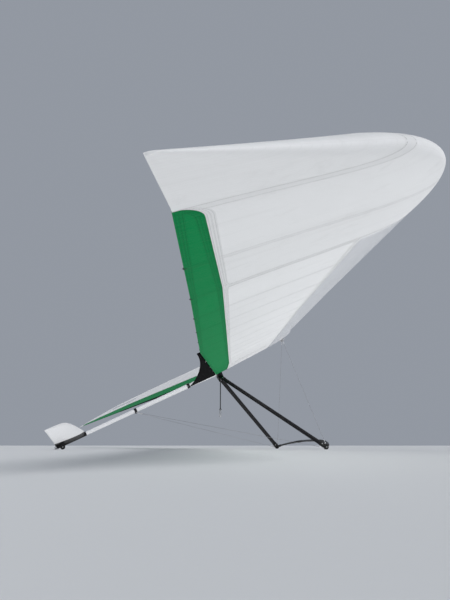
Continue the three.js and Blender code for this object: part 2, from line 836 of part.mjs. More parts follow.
place("nose_cone", noseCone(), WHITE_SHELL);
pair("leading_edge", leadingEdge(), WHITE_SHELL);
pair("wing_panel", wingPanel(), WHITE_SAIL);
pair("rear_band", rearBand(), GREEN_SAIL);
pair("wing_tip", wingTip(), WHITE_SAIL);

const spoileronHinge = skin(station(SPOILERON.from), SPOILERON.front, 1, -SPOILERON.thick / 2);
const flapHinge = hingePoint(FLAP.root);
const movers = [
  { name: "flap", hinge: flapHinge, geometry: flap(), material: BLACK_SAIL },
  { name: "spoileron", hinge: spoileronHinge, geometry: spoileronPlate(0), material: WHITE_SHELL },
];
for (const { name, hinge, geometry, material } of movers) {
  geometry.translate(-hinge.x, -hinge.y, -hinge.z);
  place(`${name}_left`, geometry, material, hinged(`${name}_hinge_left`, hinge));
  const other = hinge.clone().multiply(v3(1, -1, 1));
  place(`${name}_right`, mirrored(geometry), material, hinged(`${name}_hinge_right`, other));
}

place("apex_bracket", apexBracket(), BLACK_CARBON);
pair("downtube", downTube(), BLACK_CARBON);
pair("corner_fitting", cornerFitting(), BLACK_RUBBER);
place("base_bar", baseBar(), BLACK_CARBON);

place("keel_fairing", keelFairing(), WHITE_SHELL);
place("boom_collar", boomCollar(), BLACK_CARBON);
place("tail_boom", tailBoom(), WHITE_SHELL);
place("tail_saddle", tailSaddle(), BLACK_CARBON);
pair("tail_fin", tailFin(), WHITE_SHELL);
place("tail_skid", tailSkid(), BLACK_RUBBER);

place("nose_bracket", noseBracket(), STEEL);
place("stay_clamp", stayClamp(), BLACK_CARBON);
pair("nose_stay", stay(STAY.nose), STEEL);
pair("tail_stay", stay(STAY.tail), STEEL);

const strapHinge = hinged("strap_hinge", v3(STRAP.x, 0, STRAP.z));
strapHinge.rotation.y = PARK_PITCH; // hangs plumb once the glider is pitched
place("hang_strap", hangStrap(), WEBBING, strapHinge);
place("carabiner", carabiner(), STEEL, strapHinge);

// Parking: nose-up on the feet and the skid, then centred over the origin
parked.rotation.y = -PARK_PITCH;
const foot = CORNER.clone().applyEuler(parked.rotation);
parked.position.z = FRAME.footRadius - foot.z;
const bounds = new THREE.Box3().setFromObject(glider, true);
parked.position.x = -(bounds.min.x + bounds.max.x) / 2;
glider.updateMatrixWorld(true);

export default glider;
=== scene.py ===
"""Looks of a parked rigid-wing hang glider, laid out as an add-on and run as a script.

Everything is in metres. Pieces are worked out in the flight frame, where the glider is level and the
origin is the apex of the control frame on the keel line. parked() then pitches them nose-up into the
frame of the CAD model, and every finished piece has its place in its mesh.
"""

import json
import math

import bpy
import numpy as np
from bpy.props import FloatProperty, FloatVectorProperty, PointerProperty
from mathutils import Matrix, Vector


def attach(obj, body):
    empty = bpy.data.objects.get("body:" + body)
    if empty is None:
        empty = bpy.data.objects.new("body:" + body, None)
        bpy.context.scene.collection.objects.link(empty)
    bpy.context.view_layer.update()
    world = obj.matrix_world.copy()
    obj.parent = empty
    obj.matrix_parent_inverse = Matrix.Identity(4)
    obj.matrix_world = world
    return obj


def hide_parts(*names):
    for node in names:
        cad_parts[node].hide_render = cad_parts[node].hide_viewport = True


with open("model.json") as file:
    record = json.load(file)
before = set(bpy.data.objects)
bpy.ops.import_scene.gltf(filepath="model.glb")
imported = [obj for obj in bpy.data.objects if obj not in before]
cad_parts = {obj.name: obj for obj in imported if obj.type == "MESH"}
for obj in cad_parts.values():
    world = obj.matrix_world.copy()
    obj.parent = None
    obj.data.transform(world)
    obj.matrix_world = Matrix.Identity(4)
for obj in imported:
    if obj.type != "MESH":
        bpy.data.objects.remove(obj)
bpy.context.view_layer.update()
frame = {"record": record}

bl_info = {
    "name": "Hang glider looks",
    "version": (1, 0, 0),
    "blender": (4, 5, 0),
    "location": "3D View > Sidebar > Glider",
    "description": "Builds the wing covers, control frame, tail and fittings of a parked glider",
    "category": "Add Mesh",
}

PHOTO_PIXELS = (450, 600)

# Places and sizes, as the CAD model has them. A span place is a distance from the keel line, y, and a
# chord share runs from 0 at the leading edge to 1 at the rear edge.

# Wing half, root to tip: span place, leading edge x, rear edge x and z, rise of the leading edge over
# the rear edge for each metre of chord, width of the green band, half thickness of the rear edge.
WING_TABLE = np.array([
    (0.000, 1.370, -0.007, 0.046, 0.140, 0.200, 0.009),
    (1.000, 1.031, -0.339, 0.083, 0.128, 0.240, 0.008),
    (3.436, 0.182, -1.147, 0.174, 0.096, 0.240, 0.004),
    (5.200, -0.424, -1.636, 0.240, 0.070, 0.140, 0.003),
    (6.020, np.nan, -1.870, 0.271, 0.035, 0.070, 0.003),
    (6.245, np.nan, -1.960, 0.280, 0.020, 0.060, 0.003),
])
TIP_JOINT, BAND_END = 5.2, 6.01  # span places where the tip's cover starts and where the band ends
TIP_CONTROLS = np.array([(TIP_JOINT, -0.424), (5.64, -0.575), (5.905, -0.86), (6.04, -1.26)])
TIP_CORNER = (6.24, -1.93)  # like the controls, the span place and x
SPAR = 0.3  # chord share where the rigid front ends and the sail starts
CAMBER, FATNESS = 0.024, 0.122  # rise of the middle line and thickness, as shares of the chord
TAPE_HALF, HEM_WIDTH = 0.015, 0.026  # of the tapes over the ribs, and of the folded hems
JOINT_GAP, CLOTH_GAP = 0.0008, 0.0005  # left beside a covering's edge at a joint, and beside other cloth
BAND_SAG, BAND_ROUND = 0.0008, 0.07  # how far it sinks between ribs, and the length of its round end
RIB_ENDS = (3.6, 5.9)  # span places between which ribs end at the rear edge, not at the flap
ZIP_PLACE, ZIP_FRONT, ZIP_REAR = 0.6, 0.36, 0.8  # its span place and the chord shares of its ends
SCREW_RADIUS = 0.0042
CONE_HALF, CONE_SLOPE = 0.3, math.tan(math.radians(30.4))  # its last span place, and its edges' sweep
CONE_TIP, CONE_ROUND, CONE_PROUD = 1.440, 0.02, 0.0008  # foremost x, rounding of it, height over the skin

FLAP_ROOT, FLAP_END = 0.058, 3.4  # its span places
FLAP_ROOT_CHORD, FLAP_END_CHORD, FLAP_POWER = 0.44, 0.03, 1.7  # behind the band, as flap_chord() has it
HINGE_BEHIND = 0.0135  # of the hinge line, behind the band's rear edge
KNUCKLES = (0.26, 1.0, 1.8, 2.6)  # span places of the hinges
KNUCKLE_GAP_HALF = 0.014  # of the cut in the flap's nose beside each knuckle
# Its span places, the chord shares of its front and rear, its thickness and the gap left round it
SPOILERON = {"from": 3.55, "to": 4.95, "front": 0.6, "rear": 0.72, "thick": 0.010, "clear": 0.006}

# Middles of the left corner's pad and of the skid's, and the top of the left downtube's axis
CORNER, SKID = np.array([0.766, 0.853, -1.437]), np.array([-2.340, 0.0, -0.050])
APEX = np.array([0.034, 0.034, -0.014])
PAD_RADIUS, CORNER_PAD_WIDTH, SKID_PAD_WIDTH = 0.032, 0.044, 0.026
TUBE_CHORD, TUBE_THICK = 0.060, 0.026  # along and across the tubes' ellipse
BAR_BOW, BAR_BOW_HALF = 0.3, 0.560  # how far in front of the corners the bar's controls are, and their y
BAR_SOCKET = 0.055  # share of the bar's curve inside each corner
PIN, PIN_HALF = np.array([0.022, 0.0, -0.060]), 0.035  # the hang pin's middle and half its length
TUBE_BOLT_REACH = 0.017  # from the tube's middle to the washers of the bolts through it

COLLAR_X, COLLAR_HALF, COLLAR_RADIUS = -0.470, 0.022, 0.036
BOOM_END = -2.440
BOOM_HEIGHT, BOOM_SLOPE = 0.066, 0.0368  # of its axis: height above the apex and rise for each metre
BOOM_FRONT_RADIUS, BOOM_REAR_RADIUS = 0.032, 0.021
# Fairing from front to rear: x, half width and half height
FAIRING = np.array([(0.0, 0.045, 0.040), (-0.160, 0.040, 0.037), (-0.4465, 0.022, 0.024)])
FIN_ROOT_FRONT, FIN_ROOT_REAR = -2.030, -2.420
# Fin from root to tip: share of its span, x of its front and rear, share of its full thickness
FIN_TABLE = np.array([
    (0.00, FIN_ROOT_FRONT, FIN_ROOT_REAR, 1.0),
    (0.50, -2.108, -2.438, 1.0),
    (0.85, -2.182, -2.454, 1.0),
    (0.97, -2.228, -2.461, 0.8),
    (1.00, -2.262, -2.458, 0.35),
])
FIN_SPAN, FIN_DIHEDRAL, FIN_FATNESS = 0.655, math.radians(20.5), 0.09
FIN_BLACK_FRONT, FIN_BLACK_REAR = 0.132, 0.112  # how far the black root reaches along the span

NOSE_ANCHOR, TAIL_ANCHOR = np.array([1.235, 0.016, 0.130]), np.array([-1.300, 0.016, -0.010])
# Main stays of one side. Columns: name, CAD node, upper end, how far in front of the corner's middle the
# lower end is, and the length of the upper and lower lug.
STAYS = (
    ("front", "nose_stay", NOSE_ANCHOR, 0.010, 0.034, 0.078),
    ("rear", "tail_stay", TAIL_ANCHOR, -0.026, 0.062, 0.060),
)

LIP, LIP_WIDTH = 0.0012, 0.0024  # how far the edge of a wing piece turns in, and over what width
SLEEVE_WALL, RIM_WALL = 0.004, 0.006  # of the moulded sockets round the control frame's tubes

PITCH = math.atan2(SKID[2] - CORNER[2], CORNER[0] - SKID[0])
TURN = np.array([
    (math.cos(PITCH), 0, -math.sin(PITCH)),
    (0, 1, 0),
    (math.sin(PITCH), 0, math.cos(PITCH)),
])
FOOT = {mount["name"]: mount["pos_m"] for mount in frame["record"]["mounts"]}["foot_left"]
SHIFT = np.array([FOOT[0], FOOT[1], PAD_RADIUS]) - TURN @ CORNER
HANG_PIVOT = TURN @ PIN + SHIFT
SIDES = ((1, "left"), (-1, "right"))
FORWARD, LEFT, UP = np.eye(3)
APEX_FRONT, APEX_REAR = 0.084, -0.004  # x of the keel bracket's ends
STRAP_LENGTH = 0.430
CARABINER_WIDTH, CARABINER_HEIGHT = 0.060, 0.102  # between the middles of its bar
CREASE = math.radians(38)  # a sharper edge than this is drawn sharp


def parked(points):
    """Flight frame to the parked frame: each point is pitched about y and shifted."""
    return np.asarray(points, float) @ TURN.T + SHIFT


def mirrored(points, sign):
    """The same points for the left wing (sign 1), or with y turned over for the right (sign -1)."""
    return np.asarray(points, float) * (1, sign, 1)


# Forms


def unit(vectors):
    """Vectors divided by their lengths."""
    vectors = np.asarray(vectors, float)
    return vectors / np.maximum(np.linalg.norm(vectors, axis=-1, keepdims=True), 1e-12)


def distance_along(points, closed=False):
    """Running length along a row of points from 0, and back to the first where it is closed."""
    if closed:
        points = np.vstack([points, points[:1]])
    steps = np.linalg.norm(np.diff(points, axis=0), axis=1)
    return np.concatenate([[0.0], np.cumsum(steps)])


def on_circle(angle):
    """Points (cos a, sin a)."""
    return np.stack([np.cos(angle), np.sin(angle)], -1)


def bezier(controls, t):
    """Cubic Bezier curve: (1-t)^3 a + 3(1-t)^2 t b + 3(1-t) t^2 c + t^3 d."""
    t = np.asarray(t, float)[..., None]
    a, b, c, d = controls
    return (1 - t) ** 3 * a + 3 * (1 - t) ** 2 * t * b + 3 * (1 - t) * t**2 * c + t**3 * d


def eased(t, start, start_slope, end, end_slope):
    """Cubic from start to end: (2t^3-3t^2+1) start + (t^3-2t^2+t) start slope + (3t^2-2t^3) end +
    (t^3-t^2) end slope."""
    return (
        (2 * t**3 - 3 * t**2 + 1) * start + (t**3 - 2 * t**2 + t) * start_slope
        + (3 * t**2 - 2 * t**3) * end + (t**3 - t**2) * end_slope
    )


def smooth(at, knots, values):
    """Eased curve through the knots: slopes are the harmonic means of the neighbouring slopes, so it
    never overshoots, and it is constant outside."""
    steps = np.diff(values) / np.diff(knots)
    same = steps[:-1] * steps[1:] > 0
    inner = np.where(same, 2 * steps[:-1] * steps[1:] / np.where(same, steps[:-1] + steps[1:], 1), 0)
    slopes = np.concatenate([steps[:1], inner, steps[-1:]])
    at = np.clip(at, knots[0], knots[-1])
    i = np.clip(np.searchsorted(knots, at, side="right") - 1, 0, len(knots) - 2)
    width = knots[i + 1] - knots[i]
    share = (at - knots[i]) / width
    return eased(share, values[i], width * slopes[i], values[i + 1], width * slopes[i + 1])


def aerofoil(s, tail=0.1036):
    """Half thickness of the usual four-digit section of thickness 1 at chord share s:
    5 * (0.2969 sqrt(s) - 0.126 s - 0.3516 s^2 + 0.2843 s^3 - tail * s^4)."""
    return 5 * (0.2969 * np.sqrt(s) - 0.126 * s - 0.3516 * s**2 + 0.2843 * s**3 - tail * s**4)


def nearest(*distances):
    """The least of several distances, place by place."""
    return np.minimum.reduce(np.broadcast_arrays(*distances))


def there_and_back(there, back=None):
    """Rings that run along one row of points and return along another, or along the same."""
    return np.hstack([there, (there if back is None else back)[:, ::-1]])


def both_ways(rows):
    """Rows of distance and radius for a turned form, and the same rows turned over about 0, from its
    far end to its near one."""
    rows = np.asarray(rows, float)
    return np.vstack([rows * (-1, 1), rows[::-1]])


def cloth_places(along, across):
    """Cloth-map places of rings, in metres, with the first place of each ring repeated at its end."""
    return np.stack([np.hstack([a, a[:, :1]]) for a in np.broadcast_arrays(along, across)], -1)


def on_line(at, way, *distances):
    """Points at distances from a place, along a direction."""
    return at + np.array(distances)[:, None] * way


def dense(points, step=0.004):
    """Closed path with extra points on its long straights."""
    after = np.roll(points, -1, 0)
    counts = np.maximum(1, np.ceil(np.linalg.norm(after - points, axis=1) / step)).astype(int)
    return np.vstack([np.linspace(a, b, n, endpoint=False) for a, b, n in zip(points, after, counts)])


def fan(ring, middle):
    """Three corners from each value of a ring: the one after it, itself and the middle."""
    return np.stack([np.roll(ring, -1, 0), ring, np.broadcast_to(middle, ring.shape)], 1)


class Form:
    """One closed form: its points, its faces, and each point's distance from the nearest sewn or
    moulded edge. Faces are pairs of arrays: the point number of each corner, and its place on the cloth
    map.

    The faces are turned round if the signed volume, the sum of a . (b x c) / 6, is negative.
    """

    def __init__(self, points, faces, edge=None):
        volume = 0.0
        for corners, _ in faces:
            for k in range(1, corners.shape[1] - 1):
                a, b, c = (points[corners[:, i]] for i in (0, k, k + 1))
                volume += np.sum(a * np.cross(b, c))
        if volume < 0:
            faces = [(corners[:, ::-1], places[:, ::-1]) for corners, places in faces]
        self.points, self.faces = points, faces
        self.edge = np.ones(len(points)) if edge is None else edge


def skinned(rings, places=None, edge=None, loop=False):
    """Closed form through a grid of points, one closed ring to a row.

    Face (r, c) joins points c and c + 1 of rings r and r + 1. A loop also joins the last ring to the
    first. Otherwise a fan round the middle of each end ring closes it.
    """
    rows, columns = rings.shape[:2]
    if places is None:
        along, around = distance_along(rings[:, 0]), distance_along(rings[rows // 2], True)
        places = np.stack(np.broadcast_arrays(along[:, None], around), -1)
    r, c = np.arange(rows if loop else rows - 1)[:, None], np.arange(columns)
    corners = ((r, c), (r, c + 1), (r + 1, c + 1), (r + 1, c))
    numbers = np.stack([i % rows * columns + j % columns for i, j in corners], -1)
    on_map = np.stack([places[i, j] for i, j in corners], 2)
    faces = [(numbers.reshape(-1, 4), on_map.reshape(-1, 4, 2))]
    points = rings.reshape(-1, 3)
    if edge is not None:
        edge = np.broadcast_to(edge, (rows, columns)).ravel()
    if not loop:
        points = np.vstack([points, rings[0].mean(0), rings[-1].mean(0)])
        if edge is not None:
            edge = np.concatenate([edge, edge[:1], edge[-1:]])
        for end, row, order in ((0, 0, [0, 1, 2]), (1, rows - 1, [1, 0, 2])):
            ring = places[row, :-1]
            numbers = fan(row * columns + c, rows * columns + end)
            faces.append((numbers[:, order], fan(ring, ring.mean(0))[:, order]))
    return Form(points, faces, edge)


def carried(path, outline, side, scale=1.0, along=None, loop=False, rounded=0.0):
    """Outline carried along a path.

    Point (i, j) = path i + scale i * (x j * side i + y j * up i), where side i is square to the path
    and up i = along i x side i. Where the ends are rounded by a radius, their rings are set in by
    radius * (1 - sin a) at radius * (1 - cos a) from the end, for angles a up to a quarter turn.
    """
    path, outline = np.asarray(path, float), np.asarray(outline, float)
    if along is None:
        along = np.roll(path, -1, 0) - np.roll(path, 1, 0) if loop else np.gradient(path, axis=0)
    along = unit(np.broadcast_to(along, path.shape))
    scale = np.broadcast_to(np.asarray(scale, float), len(path))
    inset = np.zeros(len(path))
    if rounded:
        back, shrink = rounded * (1 - on_circle(np.linspace(0, np.pi / 2, 4)).T)
        row = np.repeat(np.arange(len(path)), [4, *[1] * (len(path) - 2), 4])
        path, along, scale, middle = path[row], along[row], scale[row], inset[1:-1]
        path = path + along * np.concatenate([back, middle, -back[::-1]])[:, None]
        inset = np.concatenate([shrink, middle, shrink[::-1]])
    side = np.broadcast_to(np.asarray(side, float), path.shape)
    side = unit(side - along * np.sum(side * along, 1, keepdims=True))
    up = np.cross(along, side)
    run = np.roll(outline, -1, 0) - np.roll(outline, 1, 0)
    out = unit(np.stack([run[:, 1], -run[:, 0]], 1))
    flat = outline[None] * scale[:, None, None] - out[None] * inset[:, None, None]
    rings = path[:, None] + flat[..., :1] * side[:, None] + flat[..., 1:] * up[:, None]
    lengths, around = distance_along(path, loop)[:, None], distance_along(outline, True) * scale.mean()
    return skinned(rings, np.stack(np.broadcast_arrays(lengths, around), -1), loop=loop)


def oval(width, height, sides):
    """Points of an ellipse, anticlockwise."""
    return on_circle(np.linspace(0, 2 * np.pi, sides, endpoint=False)) * (width / 2, height / 2)


def rounded_rectangle(width, height, radius, steps=4):
    """A rectangle whose corners are quarter circles: corner centre + radius * (cos a, sin a)."""
    angle = np.linspace(0, np.pi / 2, steps) + np.arange(4)[:, None] * np.pi / 2
    signs = np.repeat([(1, 1), (-1, 1), (-1, -1), (1, -1)], steps, axis=0)
    return signs * (width / 2 - radius, height / 2 - radius) + radius * on_circle(angle.ravel())


def any_side(axis):
    """A direction square to an axis."""
    return unit(np.cross(UP if abs(axis[2]) < 0.8 else LEFT, axis))


def turned(origin, axis, table, sides=24):
    """Form turned about an axis: for each row of the table, a ring of its radius at its distance."""
    table, axis = np.asarray(table, float), unit(axis)
    radii = np.maximum(table[:, 1], 1e-5)
    return carried(origin + axis * table[:, :1], oval(2, 2, sides), any_side(axis), radii, axis)


def ears(middle, places, width, height, thick, radius):
    """Upright plates side by side: a rounded rectangle with soft edges, carried by its thickness across
    the glider from each place."""
    outline, soft = rounded_rectangle(width, height, radius), min(thick * 0.4, radius * 0.8)
    paths = (on_line(middle, LEFT, y, y + thick) for y in places)
    return [carried(path, outline, FORWARD, rounded=soft) for path in paths]


def bolt(at, axis, size):
    """A washer, a six-sided head and the round end of its shank, along an outward axis."""
    washer = np.array([(-0.5, 0), (-0.5, 1.3), (0.12, 1.35), (0.2, 1.25), (0.2, 0)]) * size
    shank = np.array([(0.4, 0), (0.4, 0.5), (1.0, 0.5), (1.08, 0.4), (1.1, 0)]) * size
    path = on_line(at, axis, 0.1 * size, 0.85 * size)
    head = carried(path, oval(2 * size, 2 * size, 6), any_side(axis), rounded=0.15 * size)
    return [turned(at, axis, washer, 20), head, turned(at, axis, shank, 12)]


def bolt_pair(middle, axis, reach, size):
    """Two bolts that face away from each other, each a reach from the middle."""
    return [*bolt(middle + axis * reach, axis, size), *bolt(middle - axis * reach, -axis, size)]


def hanging(points):
    """From the hang pivot, upright, to the parked frame."""
    return np.asarray(points, float) + HANG_PIVOT


def linked(name, data):
    """A new object of the scene, at the origin."""
    thing = bpy.data.objects.new(name, data)
    bpy.context.scene.collection.objects.link(thing)
    return thing


def settled(form, sign, place):
    """A form kept on the left (sign 1) or turned over to the right (-1), its points moved by place."""
    return Form(place(mirrored(form.points, sign)), form.faces, form.edge)


def piece(name, forms, finish, replaces=(), body="airframe", sign=1, place=parked):
    """Makes one object of closed forms, in the frame of the CAD, and lets it ride on its body."""
    forms = [settled(form, sign, place) for form in forms]
    starts = np.cumsum([0] + [len(form.points) for form in forms])
    faces = [
        (corners + start, places) for form, start in zip(forms, starts) for corners, places in form.faces
    ]
    faces.sort(key=lambda pair: -pair[0].shape[1])  # four-cornered faces first
    mesh = bpy.data.meshes.new(name)
    points = np.vstack([form.points for form in forms])
    mesh.from_pydata(points.tolist(), [], [face for corners, _ in faces for face in corners.tolist()])
    places = np.concatenate([places.ravel() for _, places in faces])
    mesh.uv_layers.new(name="cloth").data.foreach_set("uv", places)
    edge = mesh.attributes.new("edge", "FLOAT", "POINT")
    edge.data.foreach_set("value", np.concatenate([form.edge for form in forms]))
    mesh.shade_smooth()
    mesh.set_sharp_from_angle(angle=CREASE)
    slot, paint, *looks = FINISHES[finish]
    mesh.materials.append(bpy.data.materials.get(finish) or paint(finish, *looks))
    thing = linked(name, mesh)
    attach(thing, body)
    if replaces:
        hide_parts(*replaces)


def both(name, forms, finish, node="", body="airframe"):
    """The same forms as a left and a right piece. The side's word ends the names of piece and node, and
    stands where a body's name has braces."""
    for sign, word in SIDES:
        replaces = [f"{node}_{word}"] if node else ()
        piece(f"{name}_{word}", forms, finish, replaces, body.format(word), sign)


# The wing's surface


def tip_line():
    """The rounded tip in plan: a Bezier curve, then a straight raked end."""
    curve = bezier(TIP_CONTROLS, np.linspace(0, 1, 30))
    raked = curve[-1] + (np.array(TIP_CORNER) - curve[-1]) * np.linspace(0.08, 1, 14)[:, None]
    return np.vstack([curve, raked])


TIP_LINE = tip_line()
FRONT_LINE = np.vstack([WING_TABLE[:3, :2], TIP_LINE])


def column(index, y):
    """A column of the wing's table, straight between its rows."""
    return np.interp(y, WING_TABLE[:, 0], WING_TABLE[:, index])


def front_x(y):
    """The leading edge's x at a span place."""
    return np.interp(y, FRONT_LINE[:, 0], FRONT_LINE[:, 1])


def chord_at(y):
    """Distance from leading edge to rear edge."""
    return front_x(y) - column(2, y)


def wing_point(y, s, side, lift=0.0, reach=None):
    """The wing's skin at span place y and chord share s, on the upper (side 1) or lower (-1) side.

    x = leading edge - s * chord. z = rear edge z + rise * (1 - s) + camber + side * (half thickness +
    lift), with camber = 4 * share * s * (1 - s) of the chord. reach is where a cone pushes the leading
    edge forward to.
    """
    y, s, side = np.broadcast_arrays(np.asarray(y, float), s, side)
    front, chord = front_x(y), chord_at(y)
    half = FATNESS * aerofoil(s)
    height = chord * (4 * CAMBER * s * (1 - s) + side * half) + side * (column(6, y) * s + lift)
    x = front - s * chord
    if reach is not None:
        spar_x = front - SPAR * chord
        x = spar_x + (x - spar_x) * (reach - spar_x) / (front - spar_x)
    z = column(3, y) + column(4, y) * chord * (1 - s) + height
    return np.stack([x, y, z], -1)


def skin_frame(y, s, side):
    """Place, spanwise direction, forward direction and outward normal of the skin, from differences."""
    at = wing_point(y, s, side)
    span = unit(wing_point(y + 0.01, s, side) - at)
    forward = unit(wing_point(y, s - 0.004, side) - at)
    return at, span, forward, unit(np.cross(forward, span)) * side


def rows_between(first, last, step, extra=()):
    """Column of span places from first to last, with one close to each end for its turned-in lip."""
    count = max(2, round((last - first) / step) + 1)
    places = np.concatenate([np.linspace(first, last, count), [first + LIP_WIDTH, last - LIP_WIDTH], extra])
    places = np.unique(np.round(places, 6))
    return places[(places >= first - 1e-9) & (places <= last + 1e-9)][:, None]


def lip(edge):
    """How far the skin turns in: LIP at a piece's edge, falling to 0 at LIP_WIDTH from it."""
    return -LIP * np.clip(1 - edge / LIP_WIDTH, 0, 1)


def sag(y, share, pitch, depth):
    """Cloth sinks between ribs: depth * |sin(pi y / pitch)|, fading out at its front and rear."""
    return -depth * np.abs(np.sin(np.pi * y / pitch)) * (1 - np.abs(2 * share - 1) ** 6)


def across_cover(y, knots, counts, open_end=False):
    """Chord shares that run straight between the knots of each row in the given numbers of steps, the
    share of the way across the cover, and the distance from the cover's edges."""
    parts = [
        knots[:, i : i + 1] + np.diff(knots[:, i : i + 2]) * np.linspace(0, 1, n, endpoint=False)
        for i, n in enumerate(counts)
    ]
    start, end, chord = knots[:, :1], knots[:, -1:], chord_at(y)
    s = np.hstack([*parts, end])
    edges = [(s - start) * chord, (end - s) * chord, y - y.min(), *([] if open_end else [y.max() - y])]
    return s, (s - start) / (end - start), nearest(*edges)


def wing_form(y, s, side, lift, edge):
    """Closed form from arrays of span place, chord share and side, one ring to a row."""
    return skinned(wing_point(y, s, side, lift), cloth_places(y, s * chord_at(y) * side), edge)


def folded_cover(y, s, upper, lower, edge, under=-1):
    """Rings that run along the upper side and return along the lower one, or under a thin plate."""
    side = there_and_back(np.ones_like(s), np.full_like(s, under))
    return wing_form(y, there_and_back(s), side, there_and_back(upper, lower), there_and_back(edge))


def band_width(y):
    """The green band's width, with its outer end rounded: width * sqrt(1 - k^2), where k runs from 0 to
    1 over the last BAND_ROUND of its span."""
    width = column(5, y)
    k = np.clip((y - (BAND_END - BAND_ROUND)) / BAND_ROUND, 0, 1)
    return width * np.sqrt(1 - k**2) * (y < BAND_END)


# Span places that follow the round, closer together towards the end
BAND_END_ROWS = BAND_END - BAND_ROUND * (1 - np.sin(np.linspace(0, np.pi / 2, 14)))


def round_nose(q, end):
    """Chord share end * |q|^1.8 and side, for q from -1 below to 1 above the leading edge."""
    return end * np.abs(q) ** 1.8, np.where(q < 0, -1.0, 1.0)


# From the sail's edge below, round the nose, to that above, closer together at both
FRONT_RING = np.concatenate([[-1, -0.996], np.linspace(-0.98, 0.98, 49), [0.996, 1]])[None]


def leading_edge():
    """Rigid front of one wing half, from the sail's front edge below, round the nose, to that above."""
    y = rows_between(CONE_HALF + 0.001, TIP_JOINT - JOINT_GAP, 0.05, WING_TABLE[1:3, 0])
    s, side = round_nose(FRONT_RING, SPAR)
    edge = nearest((SPAR - s) * chord_at(y), y - y.min(), y.max() - y)
    return wing_form(y, s, side, lip(edge), edge)


def nose_cone():
    """Nose cover: the leading edge's rings with their fronts pushed out to
    tip - slope * (sqrt(y^2 + r^2) - r), a V with a rounded point."""
    half = CONE_HALF - 1e-4
    rims = half, half - LIP_WIDTH
    y = np.concatenate([np.negative(rims), np.linspace(-0.29, 0.29, 59), rims[::-1]])[:, None]
    away = np.abs(y)
    reach = CONE_TIP - CONE_SLOPE * (np.sqrt(away**2 + CONE_ROUND**2) - CONE_ROUND)
    reach = reach + (front_x(away) - reach) * np.clip((away - CONE_HALF + 0.03) / 0.03, 0, 1)
    s, side = round_nose(FRONT_RING, SPAR)
    edge = nearest((SPAR - s) * chord_at(away), CONE_HALF - away)
    points = wing_point(away, s, side, lip(edge) + CONE_PROUD, reach)
    points[..., 1] = y
    return skinned(points, cloth_places(y, s * chord_at(away) * side), edge)


def sail_panel(pitch, depth):
    """Cloth between the rigid front and the green band, with the spoileron's pocket sunk into its
    upper side."""
    clear, step = SPOILERON["clear"], 1e-4
    low, high = SPOILERON["from"] - clear, SPOILERON["to"] + clear
    y = rows_between(JOINT_GAP, TIP_JOINT - JOINT_GAP, 0.025, [low, low + step, high - step, high])
    chord = chord_at(y)
    start, end = SPAR + CLOTH_GAP / chord, 1 - (band_width(y) + CLOTH_GAP) / chord
    front, rear = SPOILERON["front"] - clear / chord, SPOILERON["rear"] + clear / chord
    turn_in, step = LIP_WIDTH / chord, step / chord
    knots = np.hstack([start, start + turn_in, front, front + step, rear - step, rear, end - turn_in, end])
    s, share, edge = across_cover(y, knots, (1, 12, 1, 6, 1, 7, 1))
    pocket = (s > front + step / 2) & (s < rear - step / 2) & (y > low + 5e-5) & (y < high - 5e-5)
    lower = lip(edge) + sag(y, share, pitch, depth)
    return folded_cover(y, s, np.where(pocket, -SPOILERON["thick"] - clear, lower), lower, edge)


def rear_band(pitch):
    """Green band along the rear edge, as thick as the wing there."""
    y = rows_between(JOINT_GAP, BAND_END - 0.0006, 0.05, [*WING_TABLE[1:3, 0], *BAND_END_ROWS[:-1]])
    chord = chord_at(y)
    start = np.minimum(1 - band_width(y) / chord, 1 - 0.001 / chord)
    end = np.ones_like(chord)
    turn_in = np.minimum(LIP_WIDTH / chord, (end - start) / 4)
    knots = np.hstack([start, start + turn_in, end - turn_in, end])
    s, share, edge = across_cover(y, knots, (1, 8, 1), open_end=True)
    lift = lip(edge) + sag(y, share, pitch, BAND_SAG)
    return folded_cover(y, s, lift, lift, edge)


def wing_tip(pitch, depth):
    """Rounded tip: rings from rear edge below, round the nose, to the rear edge above. They stop at
    the green band as far as that reaches, and the cloth sinks between its ribs behind the nose."""
    first, last = TIP_JOINT + JOINT_GAP, 6.2
    inside = np.linspace(TIP_JOINT + 0.02, last, 44)
    y = np.concatenate([[first, first + LIP_WIDTH], TIP_LINE[1:, 0], BAND_END_ROWS, inside])
    y = np.unique(np.round(y, 6))[:, None]
    chord = chord_at(y)
    end = 1 - np.where(y < BAND_END, (band_width(y) + JOINT_GAP) / chord, 0)
    s, side = round_nose(np.linspace(-1, 1, 71)[None], end)
    edge = nearest(np.where(y < BAND_END, (end - s) * chord, 0.1), y - y.min())
    behind = np.clip((s - 0.08) / 0.25, 0, 1) * (1 - (s / end) ** 8) * np.clip((last - y) / 0.3, 0, 1)
    lift = lip(edge) - depth * np.abs(np.sin(np.pi * y / pitch)) * behind
    return wing_form(y, s, side, lift, edge)


def spoileron_plate():
    """Plate that lies flush in the upper skin: the skin itself, and the skin lowered by its
    thickness."""
    y = rows_between(SPOILERON["from"], SPOILERON["to"], 0.05)
    turn_in = LIP_WIDTH / chord_at(y)
    front, rear = (np.full_like(y, SPOILERON[key]) for key in ("front", "rear"))
    knots = np.hstack([front, front + turn_in, rear - turn_in, rear])
    s, _, edge = across_cover(y, knots, (1, 8, 1))
    return folded_cover(y, s, lip(edge), -SPOILERON["thick"] - lip(edge), edge, 1)


def hinge_point(y):
    """The flap's hinge line."""
    y = np.asarray(y, float)
    return np.stack([column(2, y) - HINGE_BEHIND, y, column(3, y)], -1)


def flap_chord(y):
    """end + (root - end) * (1 - share)^power, which gives the flap its concave rear edge."""
    share = np.clip((y - FLAP_ROOT) / (FLAP_END - FLAP_ROOT), 0, 1)
    return FLAP_END_CHORD + (FLAP_ROOT_CHORD - FLAP_END_CHORD) * (1 - share) ** FLAP_POWER


